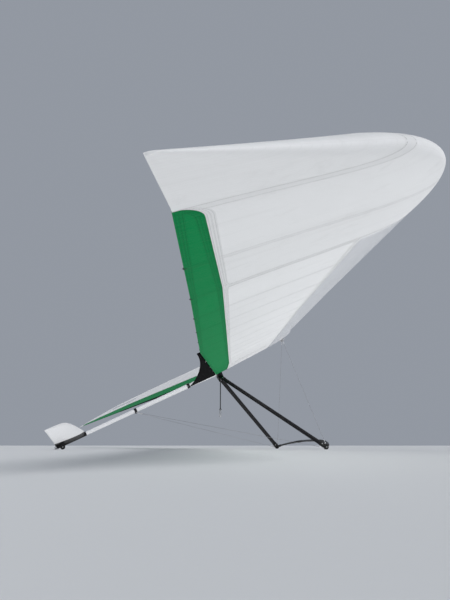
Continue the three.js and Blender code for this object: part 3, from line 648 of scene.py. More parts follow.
def flap_nose(y):
    """Radius of the flap's rounded nose."""
    return np.minimum(column(6, y) + 0.001, 0.008)


def flap(pitch):
    """One flap: half a circle round the hinge line for its nose, then above and below
    radius * (1 - c^p) + edge * c^p, with droop * c taken off, c being the share of the chord. Beside
    each knuckle its nose is cut back to a flat."""
    half, flat, droop, edge_half = KNUCKLE_GAP_HALF, 0.0125, 0.05, 0.0016
    cuts = [k + side * (half + gap) for k in KNUCKLES for side in (-1, 1) for gap in (0, 1e-4)]
    y = rows_between(FLAP_ROOT, FLAP_END, 0.04, cuts)
    length = flap_chord(y) - HINGE_BEHIND
    c = np.concatenate([[0.02], np.linspace(0.08, 0.995, 13), [1]])
    rib = -0.001 * np.abs(np.sin(np.pi * y / pitch)) * np.sin(np.pi * c)
    taper = np.where(c == 1, 0.5, 1.0)

    def surface(side, power):
        """Height over the hinge line of the upper (side 1) or lower (-1) surface."""
        half_thick = taper * (flap_nose(y) * (1 - c**power) + edge_half * c**power) + rib
        return side * half_thick - droop * c * length

    nose = flap_nose(y)[..., None] * on_circle(np.radians(np.linspace(90, -90, 13)))
    x = np.hstack([nose[..., 0], there_and_back(-c * length)])
    z = np.hstack([nose[..., 1], there_and_back(surface(-1, 1.8), surface(1, 2.2))])
    near = np.min(np.abs(y - KNUCKLES), axis=1, keepdims=True) < half + 5e-5
    x = np.where(near, np.minimum(x, -flat), x)
    edge = nearest(np.maximum(length + x, 0), y - FLAP_ROOT, FLAP_END - y)
    return skinned(hinge_point(y) + np.stack([x, np.zeros_like(x), z], -1), cloth_places(y, x), edge)


def hinge_seal():
    """Thin strip on top of the band's rear edge that reaches over the flap's nose and shuts the gap.
    Its profile's rows: distance in front of the hinge line, and heights of its top and underside."""
    profile = [(0.030, 0.001, -0.0004), (0.0135, 0.0008, -0.0001), (0.004, 0.0008, -0.0001),
               (-0.006, 0.0006, -0.0003), (-0.015, 0.0001, -0.0005)]
    x, top, under = np.array(profile).T[:, None]
    y = np.linspace(FLAP_ROOT, FLAP_END, 90)[:, None]
    z = np.maximum(flap_nose(y), column(6, y)) + 0.0012 + there_and_back(top, under)
    return skinned(hinge_point(y) + np.stack(np.broadcast_arrays(there_and_back(x), 0, z), -1))


def flap_hinge(y):
    """One hinge: a knuckle turned about the hinge line, its arm to the band and a pin through it."""
    at, beside = hinge_point(np.array([y, y + 0.01]))
    axis, knuckle_half, pin_half = unit(beside - at), 0.008, 0.0125
    path = on_line(at, axis, -knuckle_half, knuckle_half)
    knuckle = carried(path, oval(0.012, 0.012, 20), FORWARD, rounded=0.0012)
    arm_path = on_line(at, FORWARD, 0.002, 0.008, 0.017)
    arm = carried(arm_path, rounded_rectangle(0.0156, 0.009, 0.002), axis)
    path = on_line(at, axis, -pin_half, pin_half)
    pin = carried(path, oval(0.005, 0.005, 12), FORWARD, rounded=0.0008)
    return [knuckle, arm, pin]


def raised_strip(y, share, side, rise):
    """Strip on the skin: its top is the skin raised by rise, and its foot lies 2 mm inside."""
    top, foot = (wing_point(np.abs(y), share, side, lift) for lift in (rise, -0.002))
    strip = np.hstack([top, foot[:, ::-1]])
    strip[..., 1] = there_and_back(y)
    return skinned(strip)


def centre_tape(side):
    """Strip of tape over the joint of the two wing halves, raised 0.6 mm from the skin."""
    y = np.linspace(-0.028, 0.028, 9)[None]
    start, end = SPAR + 0.003, 1 - (band_width(np.abs(y)) + 0.0015) / chord_at(np.abs(y))
    share = start + (end - start) * np.linspace(0, 1, 50)[:, None]
    return raised_strip(y, share, side, np.where(np.abs(y) > 0.027, 0.0001, 0.0006))


def batten_end(y):
    """Moulded end of a rib: a small cap over the rear edge and its cord loop."""
    at = wing_point(y, 1.0, 1)
    at[2] = column(3, y)
    path = on_line(at, FORWARD, 0.010, -0.002)
    cap = carried(path, rounded_rectangle(0.010, 0.0066, 0.0025), LEFT, rounded=0.0015)
    ring = path[1] + 0.003 * on_circle(np.linspace(0, 2 * np.pi, 16, endpoint=False)) @ [LEFT, -FORWARD]
    return [cap, carried(ring, oval(0.0012, 0.0012, 8), UP, loop=True)]


def skin_strip(y, share, side, half, proud):
    """Strip along a line of chord shares at one span place: its edges are level with the skin and its
    middle stands proud of it."""
    across, rise = np.array([(-1, 0.0001), (-0.85, 1), (0, 1), (0.85, 1), (1, 0.0001)]).T[:, None]
    return raised_strip(y + across * half, share[:, None], side, rise * proud)


def zip_fastener(y, first, last):
    """Zip in the lower skin: its tape with the raised row of teeth along the middle, and its slider."""
    share = np.linspace(first, last, 60)
    at, _, forward, out = skin_frame(y, last - 0.012, -1)
    body = rounded_rectangle(0.014, 0.009, 0.003)
    slider = carried(on_line(at, out, -0.001, 0.004), body, forward, rounded=0.001)
    tab_path = [at + out * 0.0045 - forward * 0.002, at + out * 0.003 - forward * 0.024]
    tab = carried(tab_path, rounded_rectangle(0.006, 0.0015, 0.0006), LEFT, rounded=0.0004)
    tape, teeth = skin_strip(y, share, -1, 0.011, 0.0008), skin_strip(y, share, -1, 0.0028, 0.0022)
    return [tape, teeth], [slider, tab]


def spar_screws(side, pitch):
    """Row of screws that hold the sail to the rigid front, one each side of every rib."""
    ribs = np.arange(pitch, TIP_JOINT - 0.1, pitch)
    head = np.array([(-0.002, 0), (-0.002, 1), (0.0006, 1), (0.0014, 0.75), (0.0016, 0.4), (0.0008, 0.35),
                     (0.0008, 0)]) * (1, SCREW_RADIUS)
    forms = []
    for y in (*(ribs - 0.03), *(ribs + 0.03)):
        at, _, _, out = skin_frame(y, SPAR - 0.014 / chord_at(y), side)
        forms.append(turned(at, out, head, 12))
    return forms


# Control frame

DOWN = unit(CORNER - APEX)
TUBE_SIDE = unit(np.cross(DOWN, FORWARD))
TUBE = oval(TUBE_CHORD, TUBE_THICK, 40)
BAR_CONTROLS = np.array([
    CORNER,
    (CORNER[0] + BAR_BOW, BAR_BOW_HALF, CORNER[2]),
    (CORNER[0] + BAR_BOW, -BAR_BOW_HALF, CORNER[2]),
    CORNER * (1, -1, 1),
])


def bar_point(t):
    """The base bar's curve, from the left corner at 0 to the right corner at 1."""
    return bezier(BAR_CONTROLS, t)


def sleeve(path, wall, along=None):
    """Moulded socket round the tubes' ellipse, with rounded mouths."""
    outline = oval(TUBE_CHORD + 2 * wall, TUBE_THICK + 2 * wall, 36)
    return carried(path, outline, FORWARD, along=along, rounded=0.003)


def downtube():
    """Streamlined tube: an ellipse carried from the apex socket to the corner fitting."""
    return carried(np.linspace(APEX + DOWN * 0.05, CORNER - DOWN * 0.08, 24), TUBE, FORWARD, along=DOWN)


def base_bar():
    """The same ellipse carried along the bar's curve."""
    return carried(bar_point(np.linspace(BAR_SOCKET * 0.7, 1 - BAR_SOCKET * 0.7, 72)), TUBE, FORWARD)


def bar_grip(start, end):
    """Foam sleeve on the bar: its ellipse is the bar's, larger by foam, and swells at both ends in a
    raised ring, swell * exp(-((share - ring) / 0.02)^2)."""
    foam, swell, rings = 0.07, 0.05, (0.02, 0.98)
    share = np.linspace(0, 1, 40)
    swollen = sum(swell * np.exp(-((share - ring) / 0.02) ** 2) for ring in rings)
    path, outline = bar_point(start + (end - start) * share), oval(TUBE_CHORD, TUBE_THICK + 0.002, 40)
    return carried(path, outline, FORWARD, 1 + foam + swollen, rounded=0.003)


def corner_fitting():
    """Moulded elbow from the downtube's sleeve to the bar's: quadratic Bezier a(1-t)^2 + 2b t(1-t) +
    c t^2 between two straight sleeves, and raised collars at both mouths."""
    reach, bend_from, rim = 0.096, 0.03, np.array([0.004, 0.016])
    to_tube, to_bar = CORNER - DOWN * reach, bar_point(BAR_SOCKET)
    inward = unit(to_bar - CORNER)
    t = np.linspace(0, 1, 12)[:, None]
    start, end = CORNER - DOWN * bend_from, CORNER + inward * bend_from
    bend = (1 - t) ** 2 * start + 2 * t * (1 - t) * CORNER + t**2 * end
    elbow = sleeve(np.vstack([to_tube, to_tube + DOWN * 0.02, bend, to_bar]), SLEEVE_WALL)
    rims = (on_line(to_tube, DOWN, *rim), on_line(to_bar, inward, *-rim[::-1]))
    return [elbow, *(sleeve(path, RIM_WALL) for path in rims)]


def ground_pad(centre, width):
    """Round pad turned about the span axis, with soft shoulders, a shallow groove round the middle of
    its tread and a dish in each face."""
    h, r = width / 2, PAD_RADIUS
    half = [(h - 0.003, 0), (h - 0.003, r * 0.45), (h, r * 0.5), (h, r * 0.8), (h - 0.001, r * 0.9),
            (h - 0.004, r * 0.975), (h - 0.009, r), (h * 0.3, r), (h * 0.2, r - 0.0015)]
    return turned(centre, LEFT, both_ways(half), 48)


def apex_block():
    """Bracket on the keel: a rounded box whose top is sheared so that it follows the wing's underside,
    with a shallow step round its foot."""
    low, high = -0.040, 0.04
    middle = FORWARD * (APEX_FRONT + APEX_REAR) / 2
    path = on_line(middle, UP, low, low + 0.012, low + 0.013, 0.0, 0.02, high)
    outline = rounded_rectangle(APEX_FRONT - APEX_REAR, 0.080, 0.010, 6)
    form = carried(path, outline, FORWARD, (1, 1, 0.97, 0.97, 0.97, 0.97), rounded=0.004)
    x, y = form.points[:, 0], np.abs(form.points[:, 1])
    roof = wing_point(y, (front_x(y) - x) / chord_at(y), -1)[:, 2] + 0.003
    form.points[:, 2] += np.clip(form.points[:, 2] / high, 0, 1) * (roof - high)
    return form


def apex_sockets():
    """Sleeve for each downtube's top, with a raised rim."""
    socket = sleeve(on_line(APEX, DOWN, -0.03, 0.074), SLEEVE_WALL, DOWN)
    rim = sleeve(on_line(APEX, DOWN, 0.058, 0.070), RIM_WALL, DOWN)
    return [settled(form, sign, np.array) for form in (socket, rim) for sign in (1, -1)]


def hang_bracket():
    """Two rounded cheeks that carry the hang pin."""
    thick, outer = 0.008, PIN_HALF - 0.001
    return ears(PIN + UP * 0.008, (-outer, outer - thick), 0.034, 0.050, thick, 0.012)


# Boom and tail


def boom_z(x):
    """Height of the boom's axis, falling towards the tail."""
    return BOOM_HEIGHT + BOOM_SLOPE * np.asarray(x, float)


def boom_radius(x):
    """Straight taper from behind the collar to the rear end."""
    share = (COLLAR_X - COLLAR_HALF - np.asarray(x, float)) / (COLLAR_X - COLLAR_HALF - BOOM_END)
    return BOOM_FRONT_RADIUS + (BOOM_REAR_RADIUS - BOOM_FRONT_RADIUS) * share


BOOM_AXIS = unit([-1.0, 0.0, -BOOM_SLOPE])


def on_boom(x):
    """A point of the boom's axis."""
    return np.array([x, 0.0, boom_z(x)])


def round_boom(table, sides=40):
    """Turned about the boom's axis: for each row, its radius at its x."""
    x, radius = np.asarray(table, float).T
    path = np.stack([x, np.zeros_like(x), boom_z(x)], 1)
    return carried(path, oval(2, 2, sides), LEFT, np.maximum(radius, 1e-5), BOOM_AXIS)


def boom_ring():
    """Collar round the boom's front end, with rounded rims and a groove round its middle."""
    h, r = COLLAR_HALF, COLLAR_RADIUS
    rows = both_ways([(h, 0), (h, r - 0.006), (h - 0.0015, r - 0.0015), (h - 0.004, r), (0.004, r),
                      (0.002, r - 0.0012)])
    return round_boom(rows[::-1] + (COLLAR_X, 0), 48)


def tail_boom():
    """Tapered tube from inside the collar to a closed end with a slanted rim."""
    x = np.linspace(COLLAR_X - 0.01, BOOM_END + 0.004, 60)
    tube, end = np.stack([x, boom_radius(x)], 1), BOOM_REAR_RADIUS - 0.0015
    return round_boom(np.vstack([(x[0], 0.0), tube, (BOOM_END, end), (BOOM_END, 0.0)]))


def keel_fairing():
    """Smooth body behind the wing: ellipses whose half sizes run smoothly between the table's rows. It
    starts inside the wing, where its belly is raised to just inside the lower skin."""
    inside = 0.17
    x = np.concatenate([np.linspace(inside, 0, 12), np.linspace(-0.012, FAIRING[-1, 0], 34)])[:, None]
    half = np.stack([smooth(-x, -FAIRING[:, 0], FAIRING[:, i]) for i in (1, 2)], -1)
    y, z = np.moveaxis(half * on_circle(np.linspace(0, 2 * np.pi, 48, endpoint=False)), -1, 0)
    share = np.clip((front_x(np.abs(y)) - x) / chord_at(np.abs(y)), 0, 1)
    belly = wing_point(np.abs(y), share, -1)[..., 2] + 0.003
    z = np.where(x > 0.001, np.maximum(boom_z(x) + z, belly), boom_z(x) + z)
    return skinned(np.stack(np.broadcast_arrays(x, y, z), -1))


def fin_root_span(s):
    """How far the black root reaches up the fin: further out at the front than at the rear."""
    return FIN_BLACK_FRONT + (FIN_BLACK_REAR - FIN_BLACK_FRONT) * s


def fin_rings(v, span_at, flare=0.0):
    """Rings of a fin, one for each share v of its span, swung up to the dihedral. The section's half
    thickness is the four-digit one, and its rear edge is 3 mm thick; flare thickens its root."""
    s = 0.5 - 0.5 * np.cos(np.linspace(0, np.pi, 30))
    side = np.repeat([1.0, -1.0], [30, 28])
    s = np.concatenate([s, s[-2:0:-1]])
    v = np.asarray(v, float)[:, None]
    front, rear, fat = (smooth(v, FIN_TABLE[:, 0], FIN_TABLE[:, i]) for i in (1, 2, 3))
    half = (front - rear) * FIN_FATNESS * fat * aerofoil(s, 0.1015) + 0.0015 * s
    span = span_at(v, s)
    half = half + flare * np.exp(-span / 0.03) * (4 * s * (1 - s)) ** 0.5
    root_z = boom_z((FIN_ROOT_FRONT + FIN_ROOT_REAR) / 2)
    x = front - s * (front - rear)
    y = span * math.cos(FIN_DIHEDRAL) - side * half * math.sin(FIN_DIHEDRAL)
    z = span * math.sin(FIN_DIHEDRAL) + side * half * math.cos(FIN_DIHEDRAL) + root_z
    edge = nearest(np.minimum(s, 1 - s) * (front - rear), np.minimum(v, 1 - v) * FIN_SPAN)
    return np.stack(np.broadcast_arrays(x, y, z), -1), edge


def tail_fin():
    """White fin from its slanted black root to its rounded tip, where it thins as sqrt(1 - 0.98 k^2)."""
    v = np.concatenate([[0, 0.004], np.linspace(0.03, 0.9, 30), np.linspace(0.91, 0.998, 16), [1.0]])

    def above_root(v, s):
        """Place along the span, from just above the black root to the tip."""
        return fin_root_span(s) + (FIN_SPAN - fin_root_span(s)) * v + 0.0003

    rings, edge = fin_rings(v, above_root)
    middle = rings.mean(1, keepdims=True)
    close = np.clip((v - 0.985) / 0.015, 0, 1)[:, None, None]
    thin = np.sqrt(1 - 0.98 * close**2)
    rings[..., 1:] = middle[..., 1:] + (rings[..., 1:] - middle[..., 1:]) * thin
    return skinned(rings, edge=edge)


def saddle():
    """Black cuff round the boom, and an arm up the root of each fin that flares where it meets it."""
    front, rear, wall, inside = FIN_ROOT_FRONT + 0.020, FIN_ROOT_REAR + 0.010, 0.006, 0.008

    def mouth(x, way):
        """Rounded end of the cuff, from its middle out."""
        r = boom_radius(x)
        return [(x, 0.0), (x, r + 0.001), (x + way * 0.001, r + wall - 0.002), (x + way * 0.004, r + wall)]

    def up_root(_, s):
        """Place along the span, from inside the cuff to the end of the black root."""
        return inside + (fin_root_span(s) - inside) * np.linspace(0, 1, 24)[:, None]

    x = np.linspace(front - 0.01, rear + 0.01, 12)
    cuff = np.vstack([mouth(front, -1), np.stack([x, boom_radius(x) + wall], 1), mouth(rear, 1)[::-1]])
    arm = fin_rings(np.zeros(24), up_root, 0.011)[0]
    return [round_boom(cuff), skinned(arm), skinned(mirrored(arm, -1))]


def skid_neck():
    """Neck from the saddle down to the skid's pad: a rounded rectangle that narrows downwards."""
    path = np.linspace(on_boom(SKID[0]) - UP * 0.012, SKID, 8)
    return carried(path, rounded_rectangle(0.068, 0.024, 0.008), FORWARD, np.linspace(1, 0.8, 8), -UP)


# Stays


def stay_wire(start, end):
    """Straight round wire."""
    return carried(np.linspace(start, end, 30), oval(0.0036, 0.0036, 12), FORWARD, along=end - start)


def nose_bracket(size):
    """Bracket under the nose: a base that stands on the skin on a spacer, a pair of ears for each stay,
    their pins, and bolts."""
    middle = NOSE_ANCHOR * (1, 0, 1)
    low, high, thick, inner, outer = 0.010, 0.0155, 0.004, 0.0085, 0.024
    spacer, base = rounded_rectangle(0.066, 0.040, 0.012, 6), rounded_rectangle(0.080, 0.052, 0.010, 6)
    forms = [
        carried(on_line(middle, UP, high - 0.0015, 0.036), spacer, FORWARD, rounded=0.002),
        carried(on_line(middle, UP, low, high), base, FORWARD, rounded=0.0015),
        *ears(middle, (-outer, -inner - thick, inner, outer - thick), 0.030, 0.028, thick, 0.009),
    ]
    for way in (LEFT, -LEFT):
        forms += bolt(middle + way * (outer + 0.0005), way, size)
        pin = on_line(middle, way, outer + 0.002, inner - 0.0005)
        forms.append(carried(pin, oval(0.006, 0.006, 12), FORWARD))
    for ahead in (-0.030, 0.030):
        forms += bolt(middle + FORWARD * ahead + UP * low, -UP, size * 0.9)
    return forms


def boom_clamp():
    """Ring round the boom with rounded rims, and two ears under it that carry the rear stays."""
    x, half, thick, outer = TAIL_ANCHOR[0], 0.017, 0.006, 0.019
    outside = boom_radius(x) + thick
    rim = both_ways([(half, 0), (half, outside - 0.004), (half - 0.003, outside)])
    foot = on_boom(x) - UP * (outside - 0.004)
    below = ears(foot, (-outer, outer - thick), 0.030, 0.026, thick, 0.006)
    return [round_boom(rim[::-1] + (x, 0)), *below]


def terminal(at, way, length):
    """Swaged end of a stay: a fork's eye, its round shank and a tapered nipple down to the wire."""
    table = [(-0.007, 0), (-0.007, 0.0035), (-0.004, 0.0052), (0.004, 0.0054), (0.008, 0.0042),
             (length * 0.5, 0.0038), (length * 0.52, 0.0044), (length * 0.9, 0.0044), (length, 0.0030),
             (length, 0.0)]
    return turned(at, way, table, 20)


# Hang loop, drawn upright from its pin


def loop_path(top_radius, eye_radius, half, length):
    """Closed path of a sewn strap in the x-z plane: an arc round the pin, a smooth run in to the seam,
    the straight seam, and the same round the eye. One side is worked out and the other turned over."""
    lead, slack = math.radians(35), 0.03
    arc = top_radius * on_circle(np.radians(np.linspace(90, -35, 14)))
    eye = eye_radius * on_circle(np.radians(np.linspace(35, -90, 14))) - (0, length)
    seam = np.linspace((half, -0.032), (half, 0.036 - length), 30)
    t = np.linspace(0, 1, 10)[1:-1, None]
    down, leave = np.array([0.0, -slack]), -slack * np.array([math.sin(lead), math.cos(lead)])
    run_in = eased(t, arc[-1], leave, seam[0], down)
    run_out = eased(t, seam[-1], down, eye[0], leave * (-1, 1))
    right = np.vstack([arc, run_in, seam, run_out, eye])
    return np.insert(np.vstack([right, right[-2:0:-1] * (-1, 1)]), 1, 0.0, axis=1)


def hang_strap():
    """Band of webbing carried round the closed path."""
    path = loop_path(top_radius=0.0085, eye_radius=0.0112, half=0.00155, length=STRAP_LENGTH)
    return carried(path, rounded_rectangle(0.034, 0.003, 0.0012, 3), LEFT, loop=True)


def strap_stitches(pitch):
    """Raised stitches: short beads in four rows on each face of the seam, near both its ends."""
    top, foot, run = -0.040, 0.035 - STRAP_LENGTH, 0.060
    rows = np.concatenate([np.arange(top, top - run, -pitch), np.arange(foot, foot + run, pitch)])
    return [
        carried([(x, y, z), (x, y, z - pitch * 0.6)], oval(0.0012, 0.0009, 6), LEFT, rounded=0.0003)
        for y in (-0.011, -0.004, 0.004, 0.011)
        for x in (-0.0033, 0.0033)
        for z in rows
    ]


def carabiner():
    """Body: an oval bar carried round a rounded rectangle. Gate: a turned sleeve with grooves and a
    rivet at its hinge."""
    middle = -UP * (STRAP_LENGTH + CARABINER_HEIGHT / 2 + 0.002)
    corners = rounded_rectangle(CARABINER_WIDTH, CARABINER_HEIGHT, 0.014, 10)
    path = middle + dense(np.insert(corners, 0, 0.0, axis=1))
    body = carried(path, oval(0.011, 0.0098, 20), FORWARD, loop=True)
    rows = [(-0.026, 0.0), (-0.026, 0.0054)]
    for at in np.arange(-0.024, 0.020, 0.004):
        rows += [(at, 0.0068), (at + 0.003, 0.0068), (at + 0.0034, 0.0063), (at + 0.0036, 0.0063)]
    rows += [(0.0205, 0.0068), (0.0225, 0.0054), (0.0225, 0.0)]
    gate_middle = middle + LEFT * CARABINER_WIDTH / 2
    head = both_ways([(0.0063, 0), (0.0063, 0.0018), (0.0057, 0.0026)])
    return [body], [turned(gate_middle, UP, rows), turned(gate_middle - UP * 0.033, FORWARD, head, 12)]


# Finishes


def math_node(operation, number_first=False):
    """A method that adds a Math node on a wire and other values, which come first in it where
    number_first says so."""

    def method(wire, *others):
        values = (*others, wire) if number_first else (wire, *others)
        return wire.net.node("ShaderNodeMath", {"operation": operation}, dict(enumerate(values)))

    return method


class Wire:
    """One output of a shader node. Operators on it add Math nodes, also with a number in front."""

    def __init__(self, net, socket):
        self.net, self.socket = net, socket

    __add__ = __radd__ = math_node("ADD")
    __sub__, __rsub__ = math_node("SUBTRACT"), math_node("SUBTRACT", number_first=True)
    __mul__ = __rmul__ = math_node("MULTIPLY")
    __truediv__, __rtruediv__ = math_node("DIVIDE"), math_node("DIVIDE", number_first=True)
    __mod__, __rmod__ = math_node("FLOORED_MODULO"), math_node("FLOORED_MODULO", number_first=True)
    __abs__ = math_node("ABSOLUTE")
    below, at_most = math_node("LESS_THAN"), math_node("MINIMUM")
    floor, sin = math_node("FLOOR"), math_node("SINE")

    def ramp(self, low, high):
        """0 up to low and 1 from high, smooth between."""
        values = dict(enumerate((self, low, high, 0.0, 1.0)))
        return self.net.node("ShaderNodeMapRange", {"interpolation_type": "SMOOTHSTEP"}, values)


class Net:
    """The node tree of one material, which starts from its Principled BSDF."""

    def __init__(self, name):
        self.material = bpy.data.materials.new(name)
        self.material.use_nodes = True
        self.tree = self.material.node_tree
        self.shader = self.tree.nodes["Principled BSDF"]

    def node(self, kind, settings=None, inputs=None, output=0):
        """Adds a node of any type with its settings and inputs, and gives one of its outputs."""
        made = self.tree.nodes.new(kind)
        for name, value in (settings or {}).items():
            setattr(made, name, value)
        for key, value in (inputs or {}).items():
            self.feed(made.inputs[key], value)
        return Wire(self, made.outputs[output])

    def feed(self, socket, value):
        """Links a wire to a socket, or sets the socket's own value, a colour with its alpha."""
        if isinstance(value, Wire):
            self.tree.links.new(value.socket, socket)
        else:
            socket.default_value = (*value, 1) if socket.type == "RGBA" else value

    def cloth(self):
        """Place on the piece's own cloth map, in metres along and across it."""
        place = self.node("ShaderNodeUVMap", {"uv_map": "cloth"})
        split = self.node("ShaderNodeSeparateXYZ", {}, {0: place})
        return split, Wire(self, split.socket.node.outputs[1])

    def edge(self):
        """Distance from the nearest sewn or moulded edge, in metres."""
        return self.node("ShaderNodeAttribute", {"attribute_name": "edge"}, {}, 2)

    def spot(self, stretch=(1, 1, 1)):
        """Object coordinates, stretched."""
        place = self.node("ShaderNodeTexCoord", {}, {}, "Object")
        return self.node("ShaderNodeMapping", {}, {"Vector": place, "Scale": stretch})

    def noise(self, vector, scale, detail=3.0, roughness=0.5):
        """Noise from 0 to 1."""
        values = {"Vector": vector, "Scale": scale, "Detail": detail, "Roughness": roughness}
        return self.node("ShaderNodeTexNoise", {}, values)

    def cloud(self, scale, detail=3.0, roughness=0.5, stretch=(1, 1, 1)):
        """Noise on object coordinates."""
        return self.noise(self.spot(stretch), scale, detail, roughness)

    def smear(self, along, across, scale, detail=3.0, roughness=0.5):
        """Noise on two wires from the cloth map."""
        place = self.node("ShaderNodeCombineXYZ", {}, {0: along, 1: across})
        return self.noise(place, scale, detail, roughness)

    def layers(self, factor, first, second, *more):
        """Mixes two colours by a factor, then lays further pairs of factor and colour over them."""
        body = first
        for share, colour in ((factor, second), *more):
            body = self.node("ShaderNodeMix", {"data_type": "RGBA"}, {0: share, 6: body, 7: colour}, 2)
        return body

    def relief(self, *bumps):
        """Bumps on top of each other: height from 0 to 1, what that is in metres, and strength."""
        under = {}
        for height, distance, strength in bumps:
            values = {"Height": height, "Distance": distance, "Strength": strength, **under}
            under = {"Normal": self.node("ShaderNodeBump", {}, values)}
        return under["Normal"]

    def finish(self, colour, roughness, normal, **constants):
        """Feeds the shader, sets its constant sockets, and gives the material."""
        feeds = {"Base Color": colour, "Roughness": roughness, "Normal": normal, **constants}
        for name, value in feeds.items():
            self.feed(self.shader.inputs[name.replace("_", " ")], value)
        return self.material


def shade(colour, factor):
    """A colour made lighter or darker."""
    return tuple(min(1.0, c * factor) for c in colour)


def ridges(place, factor):
    """Rounded ridges side by side: |sin(factor * place)|."""
    return abs((place * factor).sin())


def stitch_row(distance, along, at, pitch=0.006, width=0.0008):
    """1 on the stitches of a straight row that runs at one distance from a line."""
    return abs(distance - at).below(width) * ((along / pitch) % 1.0).below(0.64)


def zigzag_row(distance, along, at, pitch=0.009, swing=0.0022, width=0.0007):
    """1 on a zigzag row: the thread's place swings as a triangle wave about one distance."""
    swung = abs((along / pitch) % 1.0 - 0.5) * (4 * swing) - swing
    return abs(distance - at - swung).below(width)


def sailcloth(name, covering, worn, gloss):
    """Woven polyester sail: thread crossings, a ripstop grid, rib tapes with a row of stitches along each
    side, a folded hem with two straight rows and a zigzag, tone changes from bay to bay, painted shade
    beside each rib, tension wrinkles, puckers at the seams, chordwise streaks of dirt and handling marks."""
    net = Net(name)
    colour = getattr(bpy.context.scene.glider_colours, covering)
    sizes = bpy.context.scene.glider_cloth
    pitch, thread = sizes.rib_pitch, sizes.thread
    along, across = net.cloth()
    edge = net.edge()
    checks = ((along / thread).floor() + (across / thread).floor()) % 2.0
    weave = ridges(along, math.pi / thread) * checks + ridges(across, math.pi / thread) * (1.0 - checks)
    grid = ((along % sizes.ripstop).below(0.0011) + (across % sizes.ripstop).below(0.0011)).at_most(1.0)
    from_rib = abs((along / pitch + 0.5) % 1.0 - 0.5) * pitch
    rib_tape = 1.0 - from_rib.ramp(TAPE_HALF - 0.0005, TAPE_HALF + 0.0005)
    hem = 1.0 - edge.ramp(HEM_WIDTH - 0.0005, HEM_WIDTH + 0.0005)
    tapes = (rib_tape + hem).at_most(1.0)
    stitches = (
        stitch_row(from_rib, across, TAPE_HALF - 0.0035)
        + stitch_row(edge, along, 0.005)
        + stitch_row(edge, along, HEM_WIDTH - 0.004)
        + zigzag_row(edge, along, HEM_WIDTH / 2 + 0.0005)
    ).at_most(1.0)
    bay = net.node("ShaderNodeTexWhiteNoise", {"noise_dimensions": "1D"}, {"W": (along / pitch).floor()})
    marks = net.cloud(9.0, 6.0, 0.65).ramp(0.54, 0.82)
    streaks = net.smear(along * 9.0, across * 0.7, 2.0, 5.0, 0.6).ramp(0.50, 0.80)
    body = net.layers(
        net.cloud(1.7, 4.0), shade(colour, 0.94), shade(colour, 1.03),
        (bay * 0.6, shade(colour, 0.93)),
        # Painted shade: the cloth within 9 cm of each rib is darkened, standing in for the shading of the
        # sag between ribs.
        ((1.0 - from_rib.ramp(0.0, 0.09)) * 0.35, shade(colour, 0.93)),
        (tapes * 0.5, shade(colour, 0.84)),
        (grid * 0.3, shade(colour, 0.86)),
        (stitches * 0.7, shade(colour, 0.45)),
        ((marks + streaks * 0.8).at_most(1.0) * worn, (0.20, 0.185, 0.16)),
    )
    tension = net.smear((along + across * 0.6) * 3.2, (across - along * 0.6) * 0.7, 2.4)
    wrinkles = net.smear(along * 7.0, across * 1.1, 2.2)
    puckers = net.smear(along * 26.0, across * 5.0, 3.0, 2.0) * (1.0 - edge.ramp(0.0, 0.11))
    relief = net.relief(
        (weave + grid * 0.8, 0.00022, 0.6),
        (tension, 0.012, 0.4),
        (wrinkles, 0.006, 0.5),
        (puckers, 0.003, 0.8),
        (tapes + stitches * 0.7, 0.0009, 1.0),
    )
    rough = 0.56 + weave * 0.12 + marks * 0.15
    return net.finish(body, rough, relief, Sheen_Weight=0.02, Sheen_Roughness=0.5, Specular_IOR_Level=gloss)


def gloss_shell(name):
    """Painted composite shell: gloss over faint orange peel, a mould line along its nose, tiny chips
    and dust near its edges, and slow changes of tone."""
    net = Net(name)
    colour = bpy.context.scene.glider_colours.shell
    _, across = net.cloth()
    grime = net.cloud(14.0, 6.0, 0.7)
    by_edge = 1.0 - net.edge().ramp(0.0, 0.03)
    cells = net.node(
        "ShaderNodeTexVoronoi", {}, {"Vector": net.spot(), "Scale": 46.0, "Randomness": 1.0}
    )
    chips = cells.below(0.075) * net.cloud(6.0, 2.0).ramp(0.56, 0.64)
    mould = 1.0 - abs(across).ramp(0.0006, 0.0016)
    body = net.layers(
        net.cloud(1.3, 4.0), shade(colour, 0.96), shade(colour, 1.03),
        (grime.ramp(0.58, 0.85) * 0.10, (0.30, 0.28, 0.25)),
        (by_edge * grime * 0.30, (0.28, 0.27, 0.25)),
        (chips * 0.5, (0.16, 0.15, 0.14)),
        (mould * 0.18, shade(colour, 0.8)),
    )
    relief = net.relief(
        (net.cloud(260.0, 2.0), 0.00012, 0.5),
        (net.cloud(3.2, 2.0), 0.0025, 0.35),
        (mould - chips, 0.0003, 0.7),
    )
    scuffs = net.cloud(30.0, 4.0, 0.6, (1, 9, 1)).ramp(0.55, 0.8)
    rough = 0.24 + scuffs * 0.16 + chips * 0.3
    return net.finish(body, rough, relief, Coat_Weight=0.35, Coat_Roughness=0.12, Specular_IOR_Level=0.5)


